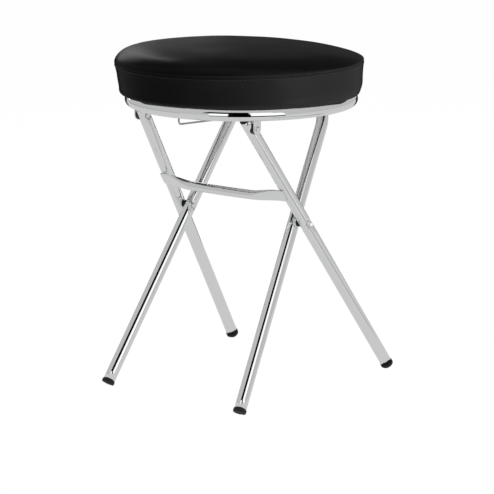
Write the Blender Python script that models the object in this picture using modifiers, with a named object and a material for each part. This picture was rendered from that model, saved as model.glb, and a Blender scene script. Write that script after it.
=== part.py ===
"""Folding stool: a round padded seat on a chromed ring, carried by two crossed tube frames.

Metres, +Z up. The origin is on the floor under the middle of the seat, and X runs along the
fold axis. The outer frame stands on its feet at +Y and is hinged to the seat at -Y. The inner
frame is one bent tube: it stands at -Y and its top bar bears on the seat board at +Y.
"""
import math

import bmesh
import bpy
from mathutils import Matrix, Quaternion, Vector

MM = 0.001

# Tubing and fits
TUBE_OD = 16.0 * MM
TUBE_WALL = 1.2 * MM
GAP = 0.3 * MM                      # clearance left between pieces that touch

# Crossed frames, in their own leaning planes
PIVOT_HEIGHT = 227.0 * MM           # fold axis above the floor
OUTER_LEAN = math.radians(34.9)     # outer frame from upright, seen from the side
INNER_LEAN = math.radians(34.0)
OUTER_SPLAY = math.radians(6.2)     # each leg from the middle line of its frame
INNER_SPLAY = math.radians(5.1)
OUTER_HALF_WIDTH = 106.2 * MM       # leg axis to the middle line, at the fold axis
INNER_BEND_RADIUS = 60.0 * MM       # centreline of the bends beside the top bar

# Fold pivot hardware
WASHER_THICKNESS = 1.7 * MM
WASHER_RADIUS = 6.0 * MM
RIVET_RADIUS = 2.5 * MM
RIVET_HEAD_RADIUS = 3.6 * MM
RIVET_HEAD_HEIGHT = 1.5 * MM
DIMPLE_DEPTH = 3.2 * MM             # the tube wall is pressed in under each rivet head
DIMPLE_MARGIN = 0.7 * MM            # flat floor left round a rivet head
DIMPLE_FLARE = math.radians(38.0)

# Seat hinge
HINGE_REACH = 167.5 * MM            # fold axis to hinge axis, along the outer frame
LEG_PAST_HINGE = 13.8 * MM
LUG_RADIUS = 6.9 * MM
LUG_THICKNESS = 2.0 * MM
LUG_ABOVE_RING_MIDDLE = 2.0 * MM
SPACER_RADIUS = 7.0 * MM
SPACER_WRAP = 4.4 * MM              # how far the spacer reaches round the leg
SPACER_LEAST = 0.8 * MM             # spacer left between the leg and the lug
LEG_PLUG_CAP = 1.4 * MM

# Stretcher between the outer legs
STRETCHER_OD = 12.5 * MM
STRETCHER_RISE = 58.0 * MM          # above the fold axis, along the outer frame
STRETCHER_BOW = 1.8 * MM
STRETCHER_FLAT_THICKNESS = 3.2 * MM
STRETCHER_FLAT_HEIGHT = 18.6 * MM
STRETCHER_FLAT_LENGTH = 8.0 * MM    # fully flattened stretch at each end
STRETCHER_TAPER = 46.0 * MM         # from flat to round
STRETCHER_PAST_LEG = 3.0 * MM       # past the leg axis

# Feet
FOOT_RADIUS = 8.75 * MM
FOOT_LENGTH = 5.0 * MM
FOOT_EDGE = 1.6 * MM
FOOT_STEM = 16.0 * MM
FOOT_FLAT = 0.8 * MM                # depth of the worn flat that meets the floor

# Seat ring and its board
RING_BEYOND_HINGE = 17.1 * MM       # middle of the ring's tube outside the leg, at the hinge
RING_ABOVE_HINGE = 19.85 * MM       # middle of the ring's tube over the hinge axis
RING_VENT_RADIUS = 2.0 * MM         # drain hole for plating, under the back of the ring
BOARD_THICKNESS = 12.0 * MM
TAB_THICKNESS = 2.0 * MM
TAB_RADIUS = 9.0 * MM
TAB_ANGLES = [math.radians(angle) for angle in (45.0, 135.0, 225.0, 315.0)]
SCREW_INSIDE_RING = 18.2 * MM
SCREW_RADIUS = 2.0 * MM
SCREW_HEAD_RADIUS = 4.2 * MM
SCREW_HEAD_HEIGHT = 2.4 * MM
SCREW_LENGTH = 13.0 * MM
SCREW_TIP = 3.0 * MM

# Cushion
COVER_THICKNESS = 1.0 * MM
COVER_BEYOND_RING = 14.8 * MM       # foot of the cover's side outside the ring's middle
SEAM_OVERHANG = 4.0 * MM            # the side draws in this much from the seam to its foot
COVER_FOOT_EDGE = 7.5 * MM
BAND_HEIGHT = 41.5 * MM             # underside of the cover to the seam
SHOULDER_RISE = 15.4 * MM
CROWN_RISE = 3.4 * MM
SHOULDER_POWER = 7.0                # how flat the top stays before it rounds over
BAND_FLARE_POWER = 1.8              # how late the side swings out to the seam
HEM_INSIDE_RING = 27.2 * MM         # inner edge of the cover, turned under the board

# Keeper wire under the front of the board, which the folded top bar comes up to
WIRE_RADIUS = 1.25 * MM
WIRE_INSIDE_RING = 15.2 * MM        # front end of the wire inside the ring's middle
WIRE_LENGTH = 80.0 * MM
WIRE_FRONT_DROP = 28.4 * MM         # wire axis below the board
WIRE_BACK_DROP = 32.7 * MM
WIRE_BEND_RADIUS = 4.5 * MM
WIRE_GRIP = 7.0 * MM                # length held in the board

# Roundness of the meshes
TUBE_ROUNDNESS = 6
WIRE_ROUNDNESS = 2
BEND_STEPS = 9
TURNED_STEPS = 16
RING_STEPS = 56
RING_SECTION_STEPS = 14
SEAT_STEPS = 48
CURVE_STEPS = 7
BAND_STEPS = 5
EDGE_STEPS = 4

# Finishes: colour, roughness, metallic
CHROME = ((0.80, 0.81, 0.82), 0.07, 1.0)
ZINC = ((0.62, 0.62, 0.60), 0.35, 1.0)
WIRE_STEEL = ((0.45, 0.45, 0.46), 0.30, 1.0)
BLACK_VINYL = ((0.030, 0.030, 0.031), 0.42, 0.0)
BLACK_PLASTIC = ((0.010, 0.010, 0.010), 0.50, 0.0)
BLACK_RUBBER = ((0.014, 0.014, 0.014), 0.75, 0.0)
FOAM = ((0.82, 0.74, 0.50), 0.95, 0.0)
PLYWOOD = ((0.72, 0.71, 0.69), 0.70, 0.0)

SIDES = {"left": -1, "right": 1}

# Values that follow from the driving dimensions
TUBE_RADIUS = TUBE_OD / 2
BORE_RADIUS = TUBE_RADIUS - TUBE_WALL
PIVOT = Vector((0.0, 0.0, PIVOT_HEIGHT))
OUTER_PLANE = Matrix.Translation(PIVOT) @ Matrix.Rotation(math.pi / 2 + OUTER_LEAN, 4, "X")
INNER_PLANE = Matrix.Translation(PIVOT) @ Matrix.Rotation(math.pi / 2 - INNER_LEAN, 4, "X")
HINGE = OUTER_PLANE @ Vector((0.0, HINGE_REACH, 0.0))

RING_HEIGHT = HINGE.z + RING_ABOVE_HINGE
RING_TOP = RING_HEIGHT + TUBE_RADIUS
COVER_BOTTOM = RING_TOP + GAP
BOARD_BOTTOM = COVER_BOTTOM + COVER_THICKNESS + GAP
BOARD_TOP = BOARD_BOTTOM + BOARD_THICKNESS
SEAM_HEIGHT = COVER_BOTTOM + BAND_HEIGHT
COVER_INSET = COVER_THICKNESS + GAP
TOP_BAR_HEIGHT = BOARD_BOTTOM - GAP - TUBE_RADIUS
TOP_BAR_REACH = (TOP_BAR_HEIGHT - PIVOT_HEIGHT) / math.cos(INNER_LEAN)


def outer_leg_x(along):
    """Distance of the outer leg's axis from the middle, at a place along the frame."""
    return OUTER_HALF_WIDTH - along * math.tan(OUTER_SPLAY)


def leg_direction(plane, splay):
    """Upward direction of the leg at +X in a frame's plane."""
    return (plane.to_3x3() @ Vector((-math.tan(splay), 1.0, 0.0))).normalized()


OUTER_DIRECTION = leg_direction(OUTER_PLANE, OUTER_SPLAY)
INNER_DIRECTION = leg_direction(INNER_PLANE, INNER_SPLAY)
WASHER_AXIS = INNER_DIRECTION.cross(OUTER_DIRECTION).normalized()
WASHER_AXIS *= math.copysign(1.0, WASHER_AXIS.x)
LEG_SPACING = (TUBE_OD + WASHER_THICKNESS + 2 * GAP) / WASHER_AXIS.x
INNER_HALF_WIDTH = OUTER_HALF_WIDTH - LEG_SPACING
HINGE_LEG_X = outer_leg_x(HINGE_REACH)
RING_RADIUS = math.hypot(HINGE_LEG_X, HINGE.y) + RING_BEYOND_HINGE
SCREW_CIRCLE = RING_RADIUS - SCREW_INSIDE_RING
COVER_FOOT_RADIUS = RING_RADIUS + COVER_BEYOND_RING
SEAM_RADIUS = COVER_FOOT_RADIUS + SEAM_OVERHANG
HEM_RADIUS = RING_RADIUS - HEM_INSIDE_RING
WIRE_FRONT_Y = WIRE_INSIDE_RING - RING_RADIUS
WIRE_BACK_Y = WIRE_FRONT_Y + WIRE_LENGTH
DIMPLE_FLOOR_RADIUS = RIVET_HEAD_RADIUS + DIMPLE_MARGIN
DIMPLE_RIM_RADIUS = DIMPLE_FLOOR_RADIUS + DIMPLE_DEPTH * math.tan(DIMPLE_FLARE) + TUBE_WALL
LEG_PLUG_STEM = LEG_PAST_HINGE - DIMPLE_RIM_RADIUS - GAP
LUG_INNER_X = (HINGE_LEG_X + TUBE_RADIUS / math.cos(OUTER_SPLAY)
               + LUG_RADIUS * math.tan(OUTER_SPLAY) + SPACER_LEAST + GAP)


def inner_leg_x(along):
    """Distance of the inner leg's axis from the middle, at a place along the frame."""
    return INNER_HALF_WIDTH - along * math.tan(INNER_SPLAY)


def foot_station(direction):
    """Where a leg's tube ends above its foot: the length down the leg from the fold axis."""
    tilt = direction.angle(Vector((0.0, 0.0, 1.0)))
    edge_height = (FOOT_RADIUS - FOOT_EDGE) * math.sin(tilt) + FOOT_EDGE - FOOT_FLAT
    return (PIVOT_HEIGHT - edge_height) / math.cos(tilt) - (FOOT_LENGTH - FOOT_EDGE) - GAP


# Scene helpers

def clear_scene():
    for obj in list(bpy.data.objects):
        bpy.data.objects.remove(obj, do_unlink=True)


def new_collection(name):
    collection = bpy.data.collections.new(name)
    bpy.context.scene.collection.children.link(collection)
    return collection


def new_object(name, data, collection, placement=None):
    obj = bpy.data.objects.new(name, data)
    collection.objects.link(obj)
    if placement is not None:
        obj.matrix_world = placement
    return obj


def axis_empty(name, location):
    """Empty on a joint's axis, which carries the pieces that turn about it."""
    empty = new_object(name, None, PARTS, Matrix.Translation(location))
    empty.empty_display_size = TUBE_OD
    return empty


def finish_part(obj, finish, carrier):
    """Give a part its own material and hang it on the empty that carries it."""
    colour, roughness, metallic = finish
    material = bpy.data.materials.new(obj.name + "_finish")
    material.use_nodes = True
    shader = material.node_tree.nodes["Principled BSDF"]
    shader.inputs["Base Color"].default_value = (*colour, 1.0)
    shader.inputs["Roughness"].default_value = roughness
    shader.inputs["Metallic"].default_value = metallic
    obj.data.materials.append(material)
    obj.parent = carrier
    obj.matrix_parent_inverse = Matrix.Translation(-carrier.location)
    return obj


def cut(target, *cutters):
    for cutter in cutters:
        modifier = target.modifiers.new(cutter.name, "BOOLEAN")
        modifier.operation = "DIFFERENCE"
        modifier.object = cutter


def mark_cutter(obj):
    obj.hide_render = True
    obj.display_type = "WIRE"
    return obj


def aim(point, direction):
    """Placement at a point, with local Z along a direction."""
    turn = Vector(direction).to_track_quat("Z", "Y")
    return Matrix.Translation(point) @ turn.to_matrix().to_4x4()


# Shape helpers

def arc(centre, radius, start, end, steps=CURVE_STEPS):
    """Points of a flat arc, from one angle to another, in degrees."""
    points = []
    for step in range(steps + 1):
        angle = math.radians(start + (end - start) * step / steps)
        points.append((centre[0] + radius * math.cos(angle), centre[1] + radius * math.sin(angle)))
    return points


def rounded_run(points, radius, steps=BEND_STEPS):
    """A run of points with each inner corner bent to a radius."""
    run = [points[0]]
    for before, corner, after in zip(points, points[1:], points[2:]):
        back = (before - corner).normalized()
        ahead = (after - corner).normalized()
        half_angle = back.angle(ahead) / 2
        centre = corner + (back + ahead).normalized() * (radius / math.sin(half_angle))
        spoke = corner + back * (radius / math.tan(half_angle)) - centre
        axis = ahead.cross(back).normalized()
        for step in range(steps + 1):
            turned = Quaternion(axis, (math.pi - 2 * half_angle) * step / steps) @ spoke
            run.append(centre + turned)
    run.append(points[-1])
    return run


def mesh_from_curve(curve, name):
    """Welded mesh of a curve's evaluated shape. The curve is removed."""
    holder = new_object(name, curve, CUTTERS)
    graph = bpy.context.evaluated_depsgraph_get()
    mesh = bpy.data.meshes.new_from_object(holder.evaluated_get(graph))
    bpy.data.objects.remove(holder, do_unlink=True)
    bpy.data.curves.remove(curve)
    shape = bmesh.new()
    shape.from_mesh(mesh)
    bmesh.ops.remove_doubles(shape, verts=shape.verts, dist=0.01 * MM)
    shape.to_mesh(mesh)
    shape.free()
    mesh.name = name
    mesh.shade_smooth()
    mesh.set_sharp_from_angle(angle=math.radians(40.0))
    return mesh


def bar_mesh(name, run, radius, roundness=TUBE_ROUNDNESS):
    """Solid round bar along a run of points."""
    curve = bpy.data.curves.new(name, "CURVE")
    curve.dimensions = "3D"
    curve.bevel_depth = radius
    curve.bevel_resolution = roundness
    curve.use_fill_caps = True
    spline = curve.splines.new("POLY")
    spline.points.add(len(run) - 1)
    for spline_point, point in zip(spline.points, run):
        spline_point.co = (*point, 1.0)
    return mesh_from_curve(curve, name)


def plate_mesh(name, outline, thickness):
    """Flat plate of a closed outline, centred on its own plane."""
    curve = bpy.data.curves.new(name, "CURVE")
    curve.dimensions = "2D"
    curve.fill_mode = "BOTH"
    curve.extrude = thickness / 2
    spline = curve.splines.new("POLY")
    spline.use_cyclic_u = True
    spline.points.add(len(outline) - 1)
    for spline_point, (x, y) in zip(spline.points, outline):
        spline_point.co = (x, y, 0.0, 1.0)
    return mesh_from_curve(curve, name)


def cone_mesh(name, radius_low, radius_high, length, steps=TURNED_STEPS):
    """Solid cone or cylinder from z = 0 up to its length."""
    shape = bmesh.new()
    bmesh.ops.create_cone(shape, cap_ends=True, segments=steps, radius1=radius_low,
                          radius2=radius_high, depth=length,
                          matrix=Matrix.Translation((0.0, 0.0, length / 2)))
    mesh = bpy.data.meshes.new(name)
    shape.to_mesh(mesh)
    shape.free()
    mesh.shade_smooth()
    mesh.set_sharp_from_angle(angle=math.radians(40.0))
    return mesh


def turned_object(name, profile, collection, placement, closed=False, steps=TURNED_STEPS):
    """Turned piece: a profile of (radius, height) points, run top to bottom on its outer side."""
    shape = bmesh.new()
    verts = [shape.verts.new((radius, 0.0, height)) for radius, height in profile]
    for first, second in zip(verts, verts[1:]):
        shape.edges.new((first, second))
    if closed:
        shape.edges.new((verts[-1], verts[0]))
    mesh = bpy.data.meshes.new(name)
    shape.to_mesh(mesh)
    shape.free()
    obj = new_object(name, mesh, collection, placement)
    screw = obj.modifiers.new("Turn", "SCREW")
    screw.axis = "Z"
    screw.steps = steps
    screw.render_steps = steps
    screw.use_merge_vertices = True
    screw.merge_threshold = 0.01 * MM
    return obj


def torus_object(name, major_radius, minor_radius, collection, section_steps=RING_SECTION_STEPS):
    bpy.ops.mesh.primitive_torus_add(major_radius=major_radius, minor_radius=minor_radius,
                                     major_segments=RING_STEPS, minor_segments=section_steps,
                                     location=(0.0, 0.0, RING_HEIGHT))
    obj = bpy.context.object
    for holder in list(obj.users_collection):
        holder.objects.unlink(obj)
    collection.objects.link(obj)
    obj.name = name
    obj.data.name = name
    obj.data.shade_smooth()
    return obj


# Cutters shared by several pieces

def cylinder_cutter(name, start, end, radius):
    """Round cutter from one point to another."""
    direction = end - start
    mesh = cone_mesh(name, radius, radius, direction.length)
    return mark_cutter(new_object(name, mesh, CUTTERS, aim(start, direction)))


def dimple_floor_x(leg_x, outward):
    """X of the flat floor pressed into a leg, on its outward or inward side."""
    return leg_x + outward * (TUBE_RADIUS - DIMPLE_DEPTH)


def dimple_cutter(name, floor, facing, grown=0.0):
    """Conical dimple with a flat floor. The grown one leaves a tube's wall behind it."""
    slope = math.tan(DIMPLE_FLARE)
    length = DIMPLE_DEPTH + TUBE_WALL
    low = DIMPLE_FLOOR_RADIUS + grown * (1 / math.cos(DIMPLE_FLARE) - slope)
    high = low + (length + grown) * slope
    mesh = cone_mesh(name, low, high, length + grown)
    direction = Vector((facing, 0.0, 0.0))
    placement = aim(floor - direction * grown, direction)
    return mark_cutter(new_object(name, mesh, CUTTERS, placement))


def hollow(tube, bore, dimples):
    """Bore a tube and press dimples into its wall: (floor point, facing) for each one."""
    for number, (floor, facing) in enumerate(dimples):
        cut(tube, dimple_cutter(f"{tube.name}_dimple_{number}", floor, facing))
        cut(bore, dimple_cutter(f"{tube.name}_dimple_back_{number}", floor, facing, TUBE_WALL))
    cut(tube, bore)


def rivet_hole(name, start_x, end_x, centre):
    """Clearance hole for a rivet's shank along X, through everything between two places."""
    low, high = sorted((start_x, end_x))
    start = Vector((low - TUBE_RADIUS, centre.y, centre.z))
    end = Vector((high + TUBE_RADIUS, centre.y, centre.z))
    return cylinder_cutter(name, start, end, RIVET_RADIUS + GAP)


# Outer frame

def outer_leg_run(side, low, high):
    """Axis of an outer leg between two places along the frame, in the frame's plane."""
    return [Vector((side * outer_leg_x(along), along, 0.0)) for along in (low, high)]


def outer_leg(name, side, pivot_hole, hinge_hole, base):
    low = -foot_station(OUTER_DIRECTION) * math.cos(OUTER_SPLAY)
    high = HINGE_REACH + LEG_PAST_HINGE
    leg_mesh = bar_mesh(name, outer_leg_run(side, low, high), TUBE_RADIUS)
    leg = new_object(name, leg_mesh, PARTS, OUTER_PLANE)
    bore_name = name + "_bore"
    bore_mesh = bar_mesh(bore_name, outer_leg_run(side, low - TUBE_OD, high + TUBE_OD), BORE_RADIUS)
    bore = mark_cutter(new_object(bore_name, bore_mesh, CUTTERS, OUTER_PLANE))
    pivot_floor = Vector((side * dimple_floor_x(OUTER_HALF_WIDTH, 1), PIVOT.y, PIVOT.z))
    hinge_floor = Vector((side * dimple_floor_x(HINGE_LEG_X, -1), HINGE.y, HINGE.z))
    hollow(leg, bore, [(pivot_floor, side), (hinge_floor, -side)])
    cut(leg, pivot_hole, hinge_hole)
    return finish_part(leg, CHROME, base)


def leg_envelope(name, side):
    """Outer leg with its fitting gap added, to shape the pieces that sit against it."""
    run = outer_leg_run(side, -HINGE_REACH, HINGE_REACH + 3 * TUBE_OD)
    mesh = bar_mesh(name, run, TUBE_RADIUS + GAP)
    return mark_cutter(new_object(name, mesh, CUTTERS, OUTER_PLANE))


def leg_plug(name, side, base):
    """Black plug in the top end of an outer leg."""
    along = HINGE_REACH + LEG_PAST_HINGE
    top = OUTER_PLANE @ Vector((side * outer_leg_x(along), along, 0.0))
    direction = OUTER_DIRECTION * Vector((side, 1.0, 1.0))
    stem_radius = BORE_RADIUS - GAP
    edge = LEG_PLUG_CAP / 2
    profile = [(0.0, LEG_PLUG_CAP)]
    profile += arc((TUBE_RADIUS - edge, LEG_PLUG_CAP - edge), edge, 90, 0, 3)
    profile += [(TUBE_RADIUS, 0.0), (stem_radius, 0.0)]
    profile += [(stem_radius, -LEG_PLUG_STEM), (0.0, -LEG_PLUG_STEM)]
    plug = turned_object(name, profile, PARTS, aim(top + direction * GAP, direction))
    return finish_part(plug, BLACK_PLASTIC, base)


def hinge_spacer(name, side, envelope, hinge_hole, base):
    """Black disc between a leg and its hinge lug, hollowed to sit on the round leg."""
    outer_x = LUG_INNER_X - GAP
    inner_x = HINGE_LEG_X + TUBE_RADIUS - SPACER_WRAP
    mesh = cone_mesh(name, SPACER_RADIUS, SPACER_RADIUS, outer_x - inner_x)
    start = Vector((side * inner_x, HINGE.y, HINGE.z))
    spacer = new_object(name, mesh, PARTS, aim(start, (side, 0.0, 0.0)))
    cut(spacer, envelope, hinge_hole)
    return finish_part(spacer, BLACK_PLASTIC, base)


def rivet(name, first_x, second_x, centre, base):
    """Rivet along X, with a domed head seated outside each of two places."""
    low, high = sorted((first_x, second_x))
    half = (high - low) / 2 + GAP
    head = [(RIVET_HEAD_RADIUS * math.cos(angle), half + RIVET_HEAD_HEIGHT * math.sin(angle))
            for angle in [math.radians(degrees) for degrees in (90, 65, 40, 18, 0)]]
    head[0] = (0.0, half + RIVET_HEAD_HEIGHT)
    profile = head + [(RIVET_RADIUS, half), (RIVET_RADIUS, -half)]
    profile += [(radius, -height) for radius, height in reversed(head)]
    place = aim(Vector(((low + high) / 2, centre.y, centre.z)), (1.0, 0.0, 0.0))
    return finish_part(turned_object(name, profile, PARTS, place), CHROME, base)


def stretcher_section(x):
    """Half height, half thickness and offset of the stretcher's middle, at a place along X."""
    flat_start = outer_leg_x(STRETCHER_RISE) + STRETCHER_PAST_LEG - STRETCHER_FLAT_LENGTH
    share = min(max((flat_start - abs(x)) / STRETCHER_TAPER, 0.0), 1.0)
    blend = share * share * (3 - 2 * share)
    half_height = STRETCHER_FLAT_HEIGHT / 2 + (STRETCHER_OD - STRETCHER_FLAT_HEIGHT) / 2 * blend
    half_thickness = STRETCHER_FLAT_THICKNESS / 2 + (STRETCHER_OD - STRETCHER_FLAT_THICKNESS) / 2 * blend
    bow = STRETCHER_BOW * max(1 - (x / flat_start) ** 2, 0.0)
    return half_height, half_thickness, TUBE_RADIUS + half_thickness + bow


def stretcher(envelopes, base):
    """Tube across the front of the outer legs, pressed flat where it is welded to them."""
    reach = outer_leg_x(STRETCHER_RISE) + STRETCHER_PAST_LEG
    flat_start = reach - STRETCHER_FLAT_LENGTH
    taper_end = flat_start - STRETCHER_TAPER
    half_run = [reach, flat_start]
    half_run += [flat_start - STRETCHER_TAPER * step / 6 for step in range(1, 6)]
    half_run += [taper_end, taper_end / 2]
    stations = half_run + [0.0] + [-x for x in reversed(half_run)]
    sides = 2 * TUBE_ROUNDNESS + 4
    shape = bmesh.new()
    rings = []
    for x in stations:
        half_height, half_thickness, offset = stretcher_section(x)
        ring = []
        for step in range(sides):
            angle = 2 * math.pi * step / sides
            along = STRETCHER_RISE + half_height * math.cos(angle)
            ring.append(shape.verts.new((x, along, offset + half_thickness * math.sin(angle))))
        rings.append(ring)
    for ring, following in zip(rings, rings[1:]):
        for step in range(sides):
            after = (step + 1) % sides
            shape.faces.new((ring[step], ring[after], following[after], following[step]))
    shape.faces.new(rings[0][::-1])
    shape.faces.new(rings[-1])
    bmesh.ops.recalc_face_normals(shape, faces=shape.faces)
    mesh = bpy.data.meshes.new("stretcher")
    shape.to_mesh(mesh)
    shape.free()
    mesh.shade_smooth()
    mesh.set_sharp_from_angle(angle=math.radians(40.0))
    bar = new_object("stretcher", mesh, PARTS, OUTER_PLANE)
    cut(bar, *envelopes)
    return finish_part(bar, CHROME, base)


# Inner frame

def inner_tube(pivot_holes, carrier):
    """One tube bent into an arch: two legs and the top bar that carries the seat."""
    low = -foot_station(INNER_DIRECTION) * math.cos(INNER_SPLAY)

    def bent(foot):
        corners = [Vector((side * inner_leg_x(along), along, 0.0))
                   for side, along in ((-1, foot), (-1, TOP_BAR_REACH), (1, TOP_BAR_REACH), (1, foot))]
        return rounded_run(corners, INNER_BEND_RADIUS)

    tube = new_object("inner_frame", bar_mesh("inner_frame", bent(low), TUBE_RADIUS), PARTS, INNER_PLANE)
    bore_mesh = bar_mesh("inner_frame_bore", bent(low - TUBE_OD), BORE_RADIUS)
    bore = mark_cutter(new_object("inner_frame_bore", bore_mesh, CUTTERS, INNER_PLANE))
    dimples = [(Vector((side * dimple_floor_x(INNER_HALF_WIDTH, -1), PIVOT.y, PIVOT.z)), -side)
               for side in SIDES.values()]
    hollow(tube, bore, dimples)
    cut(tube, *pivot_holes)
    return finish_part(tube, CHROME, carrier)


def pivot_washer(name, side, pivot_hole, carrier):
    """Washer between the crossing legs, lying flat against both tubes."""
    axis = WASHER_AXIS * Vector((side, 1.0, 1.0))
    middle = Vector((side * (OUTER_HALF_WIDTH + INNER_HALF_WIDTH) / 2, PIVOT.y, PIVOT.z))
    mesh = cone_mesh(name, WASHER_RADIUS, WASHER_RADIUS, WASHER_THICKNESS)
    washer = new_object(name, mesh, PARTS, aim(middle - axis * WASHER_THICKNESS / 2, axis))
    cut(washer, pivot_hole)
    return finish_part(washer, BLACK_PLASTIC, carrier)


def foot(name, side, plane, half_width, splay, right_direction, floor, carrier):
    """Rubber foot: a stem in the tube and a cap under it, worn flat where it meets the floor."""
    direction = right_direction * Vector((side, 1.0, 1.0))
    along = -foot_station(right_direction) * math.cos(splay)
    tube_end = plane @ Vector((side * (half_width - along * math.tan(splay)), along, 0.0))
    stem_radius = BORE_RADIUS - GAP
    stem_edge = stem_radius / 5
    profile = [(0.0, FOOT_STEM), (stem_radius - stem_edge, FOOT_STEM), (stem_radius, FOOT_STEM - stem_edge)]
    profile += [(stem_radius, 0.0)]
    profile += arc((FOOT_RADIUS - FOOT_EDGE / 3, -FOOT_EDGE / 3), FOOT_EDGE / 3, 90, 0, 3)
    profile += arc((FOOT_RADIUS - FOOT_EDGE, FOOT_EDGE - FOOT_LENGTH), FOOT_EDGE, 0, -90, 5)
    profile += [(0.0, -FOOT_LENGTH)]
    cap = turned_object(name, profile, PARTS, aim(tube_end - direction * GAP, direction))
    cut(cap, floor)
    return finish_part(cap, BLACK_RUBBER, carrier)


# Seat

def seat_ring(carrier):
    ring = torus_object("seat_ring", RING_RADIUS, TUBE_RADIUS, PARTS)
    bore = torus_object("seat_ring_bore", RING_RADIUS, BORE_RADIUS, CUTTERS, RING_SECTION_STEPS // 2)
    mark_cutter(bore)
    low = Vector((0.0, RING_RADIUS, RING_HEIGHT - TUBE_OD))
    vent = cylinder_cutter("seat_ring_vent", low, low + Vector((0.0, 0.0, TUBE_OD)), RING_VENT_RADIUS)
    cut(ring, bore, vent)
    return finish_part(ring, CHROME, carrier)


def hinge_lug(name, side, ring_envelope, hinge_hole, carrier):
    """Flat lug outside each leg, shaped to the ring that it is welded to."""
    top = RING_HEIGHT + LUG_ABOVE_RING_MIDDLE - HINGE.z
    outline = arc((0.0, 0.0), LUG_RADIUS, 180, 360, 14) + [(LUG_RADIUS, top), (-LUG_RADIUS, top)]
    upright = Matrix(((0.0, 0.0, 1.0), (1.0, 0.0, 0.0), (0.0, 1.0, 0.0))).to_4x4()
    middle = Vector((side * (LUG_INNER_X + LUG_THICKNESS / 2), HINGE.y, HINGE.z))
    mesh = plate_mesh(name, outline, LUG_THICKNESS)
    lug = new_object(name, mesh, PARTS, Matrix.Translation(middle) @ upright)
    cut(lug, ring_envelope, hinge_hole)
    return finish_part(lug, CHROME, carrier)


def ring_tab(name, angle, ring_envelope, screw_hole, carrier):
    """Tab inside the ring, flush with its top, that the seat screw passes through."""
    outline = arc((SCREW_CIRCLE, 0.0), TAB_RADIUS, 90, 270, 12)
    outline += [(RING_RADIUS, -TAB_RADIUS), (RING_RADIUS, TAB_RADIUS)]
    height = RING_TOP - TAB_THICKNESS / 2
    placement = Matrix.Translation((0.0, 0.0, height)) @ Matrix.Rotation(angle, 4, "Z")
    tab = new_object(name, plate_mesh(name, outline, TAB_THICKNESS), PARTS, placement)
    cut(tab, ring_envelope, screw_hole)
    return finish_part(tab, CHROME, carrier)


def screw_place(angle):
    """Point on a seat screw's axis, under its tab."""
    bearing = RING_TOP - TAB_THICKNESS - GAP
    return Vector((SCREW_CIRCLE * math.cos(angle), SCREW_CIRCLE * math.sin(angle), bearing))


def seat_screw(name, angle, carrier):
    """Pan-head wood screw up into the board."""
    profile = [(0.0, SCREW_LENGTH), (SCREW_RADIUS, SCREW_LENGTH - SCREW_TIP), (SCREW_RADIUS, 0.0)]
    profile += [(SCREW_HEAD_RADIUS * math.cos(turn), -SCREW_HEAD_HEIGHT * math.sin(turn))
                for turn in [math.radians(degrees) for degrees in (0, 25, 50, 72)]]
    profile += [(0.0, -SCREW_HEAD_HEIGHT)]
    screw = turned_object(name, profile, PARTS, Matrix.Translation(screw_place(angle)), steps=16)
    return finish_part(screw, ZINC, carrier)


def top_height(share, rise_cut=0.0):
    """Height of the cushion's top over the seam, at a share of its radius."""
    shoulder = (SHOULDER_RISE - rise_cut) * math.sqrt(max(1 - share ** SHOULDER_POWER, 0.0))
    return shoulder + CROWN_RISE * (1 - share * share)


def top_profile(radius, rise_cut):
    """Points over the cushion's top, from the middle out to its edge, relative to the seam."""
    shares = [math.sin(math.pi / 2 * step / CURVE_STEPS) for step in range(CURVE_STEPS + 1)]
    return [(radius * share, top_height(share, rise_cut)) for share in shares]


def side_profile(inset, top, bottom):
    """Points down the drawn-in side, from the seam to where it turns under."""
    points = []
    span = SEAM_HEIGHT - (COVER_BOTTOM + COVER_FOOT_EDGE)
    for step in range(BAND_STEPS + 1):
        height = top + (bottom - top) * step / BAND_STEPS
        share = min(max((height - COVER_BOTTOM - COVER_FOOT_EDGE) / span, 0.0), 1.0)
        flare = (SEAM_RADIUS - COVER_FOOT_RADIUS) * share ** BAND_FLARE_POWER
        points.append((COVER_FOOT_RADIUS + flare - inset, height))
    return points


def cover_top(carrier):
    """Crowned top panel of the cover, down to the seam."""
    base = SEAM_HEIGHT + GAP / 2
    outside = top_profile(SEAM_RADIUS, 0.0)
    inside = top_profile(SEAM_RADIUS - COVER_THICKNESS, COVER_THICKNESS)
    profile = [(radius, base + height) for radius, height in outside + inside[::-1]]
    panel = turned_object("seat_cover_top", profile, PARTS, Matrix(), steps=SEAT_STEPS)
    return finish_part(panel, BLACK_VINYL, carrier)


def cover_band(holes, carrier):
    """Side band of the cover: drawn in below the seam and turned under the board."""
    seam = SEAM_HEIGHT - GAP / 2
    turn_height = COVER_BOTTOM + COVER_FOOT_EDGE
    turn_centre = (COVER_FOOT_RADIUS - COVER_FOOT_EDGE, turn_height)
    outside = side_profile(0.0, seam, turn_height)
    outside += arc(turn_centre, COVER_FOOT_EDGE, 0, -90, EDGE_STEPS)[1:]
    inside = side_profile(COVER_THICKNESS, seam, turn_height)
    inside += arc(turn_centre, COVER_FOOT_EDGE - COVER_THICKNESS, 0, -90, EDGE_STEPS)[1:]
    hem = [(HEM_RADIUS, COVER_BOTTOM), (HEM_RADIUS, COVER_BOTTOM + COVER_THICKNESS)]
    profile = outside + hem + inside[::-1]
    band = turned_object("seat_cover_band", profile, PARTS, Matrix(), closed=True, steps=SEAT_STEPS)
    cut(band, *holes)
    return finish_part(band, BLACK_VINYL, carrier)


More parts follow.
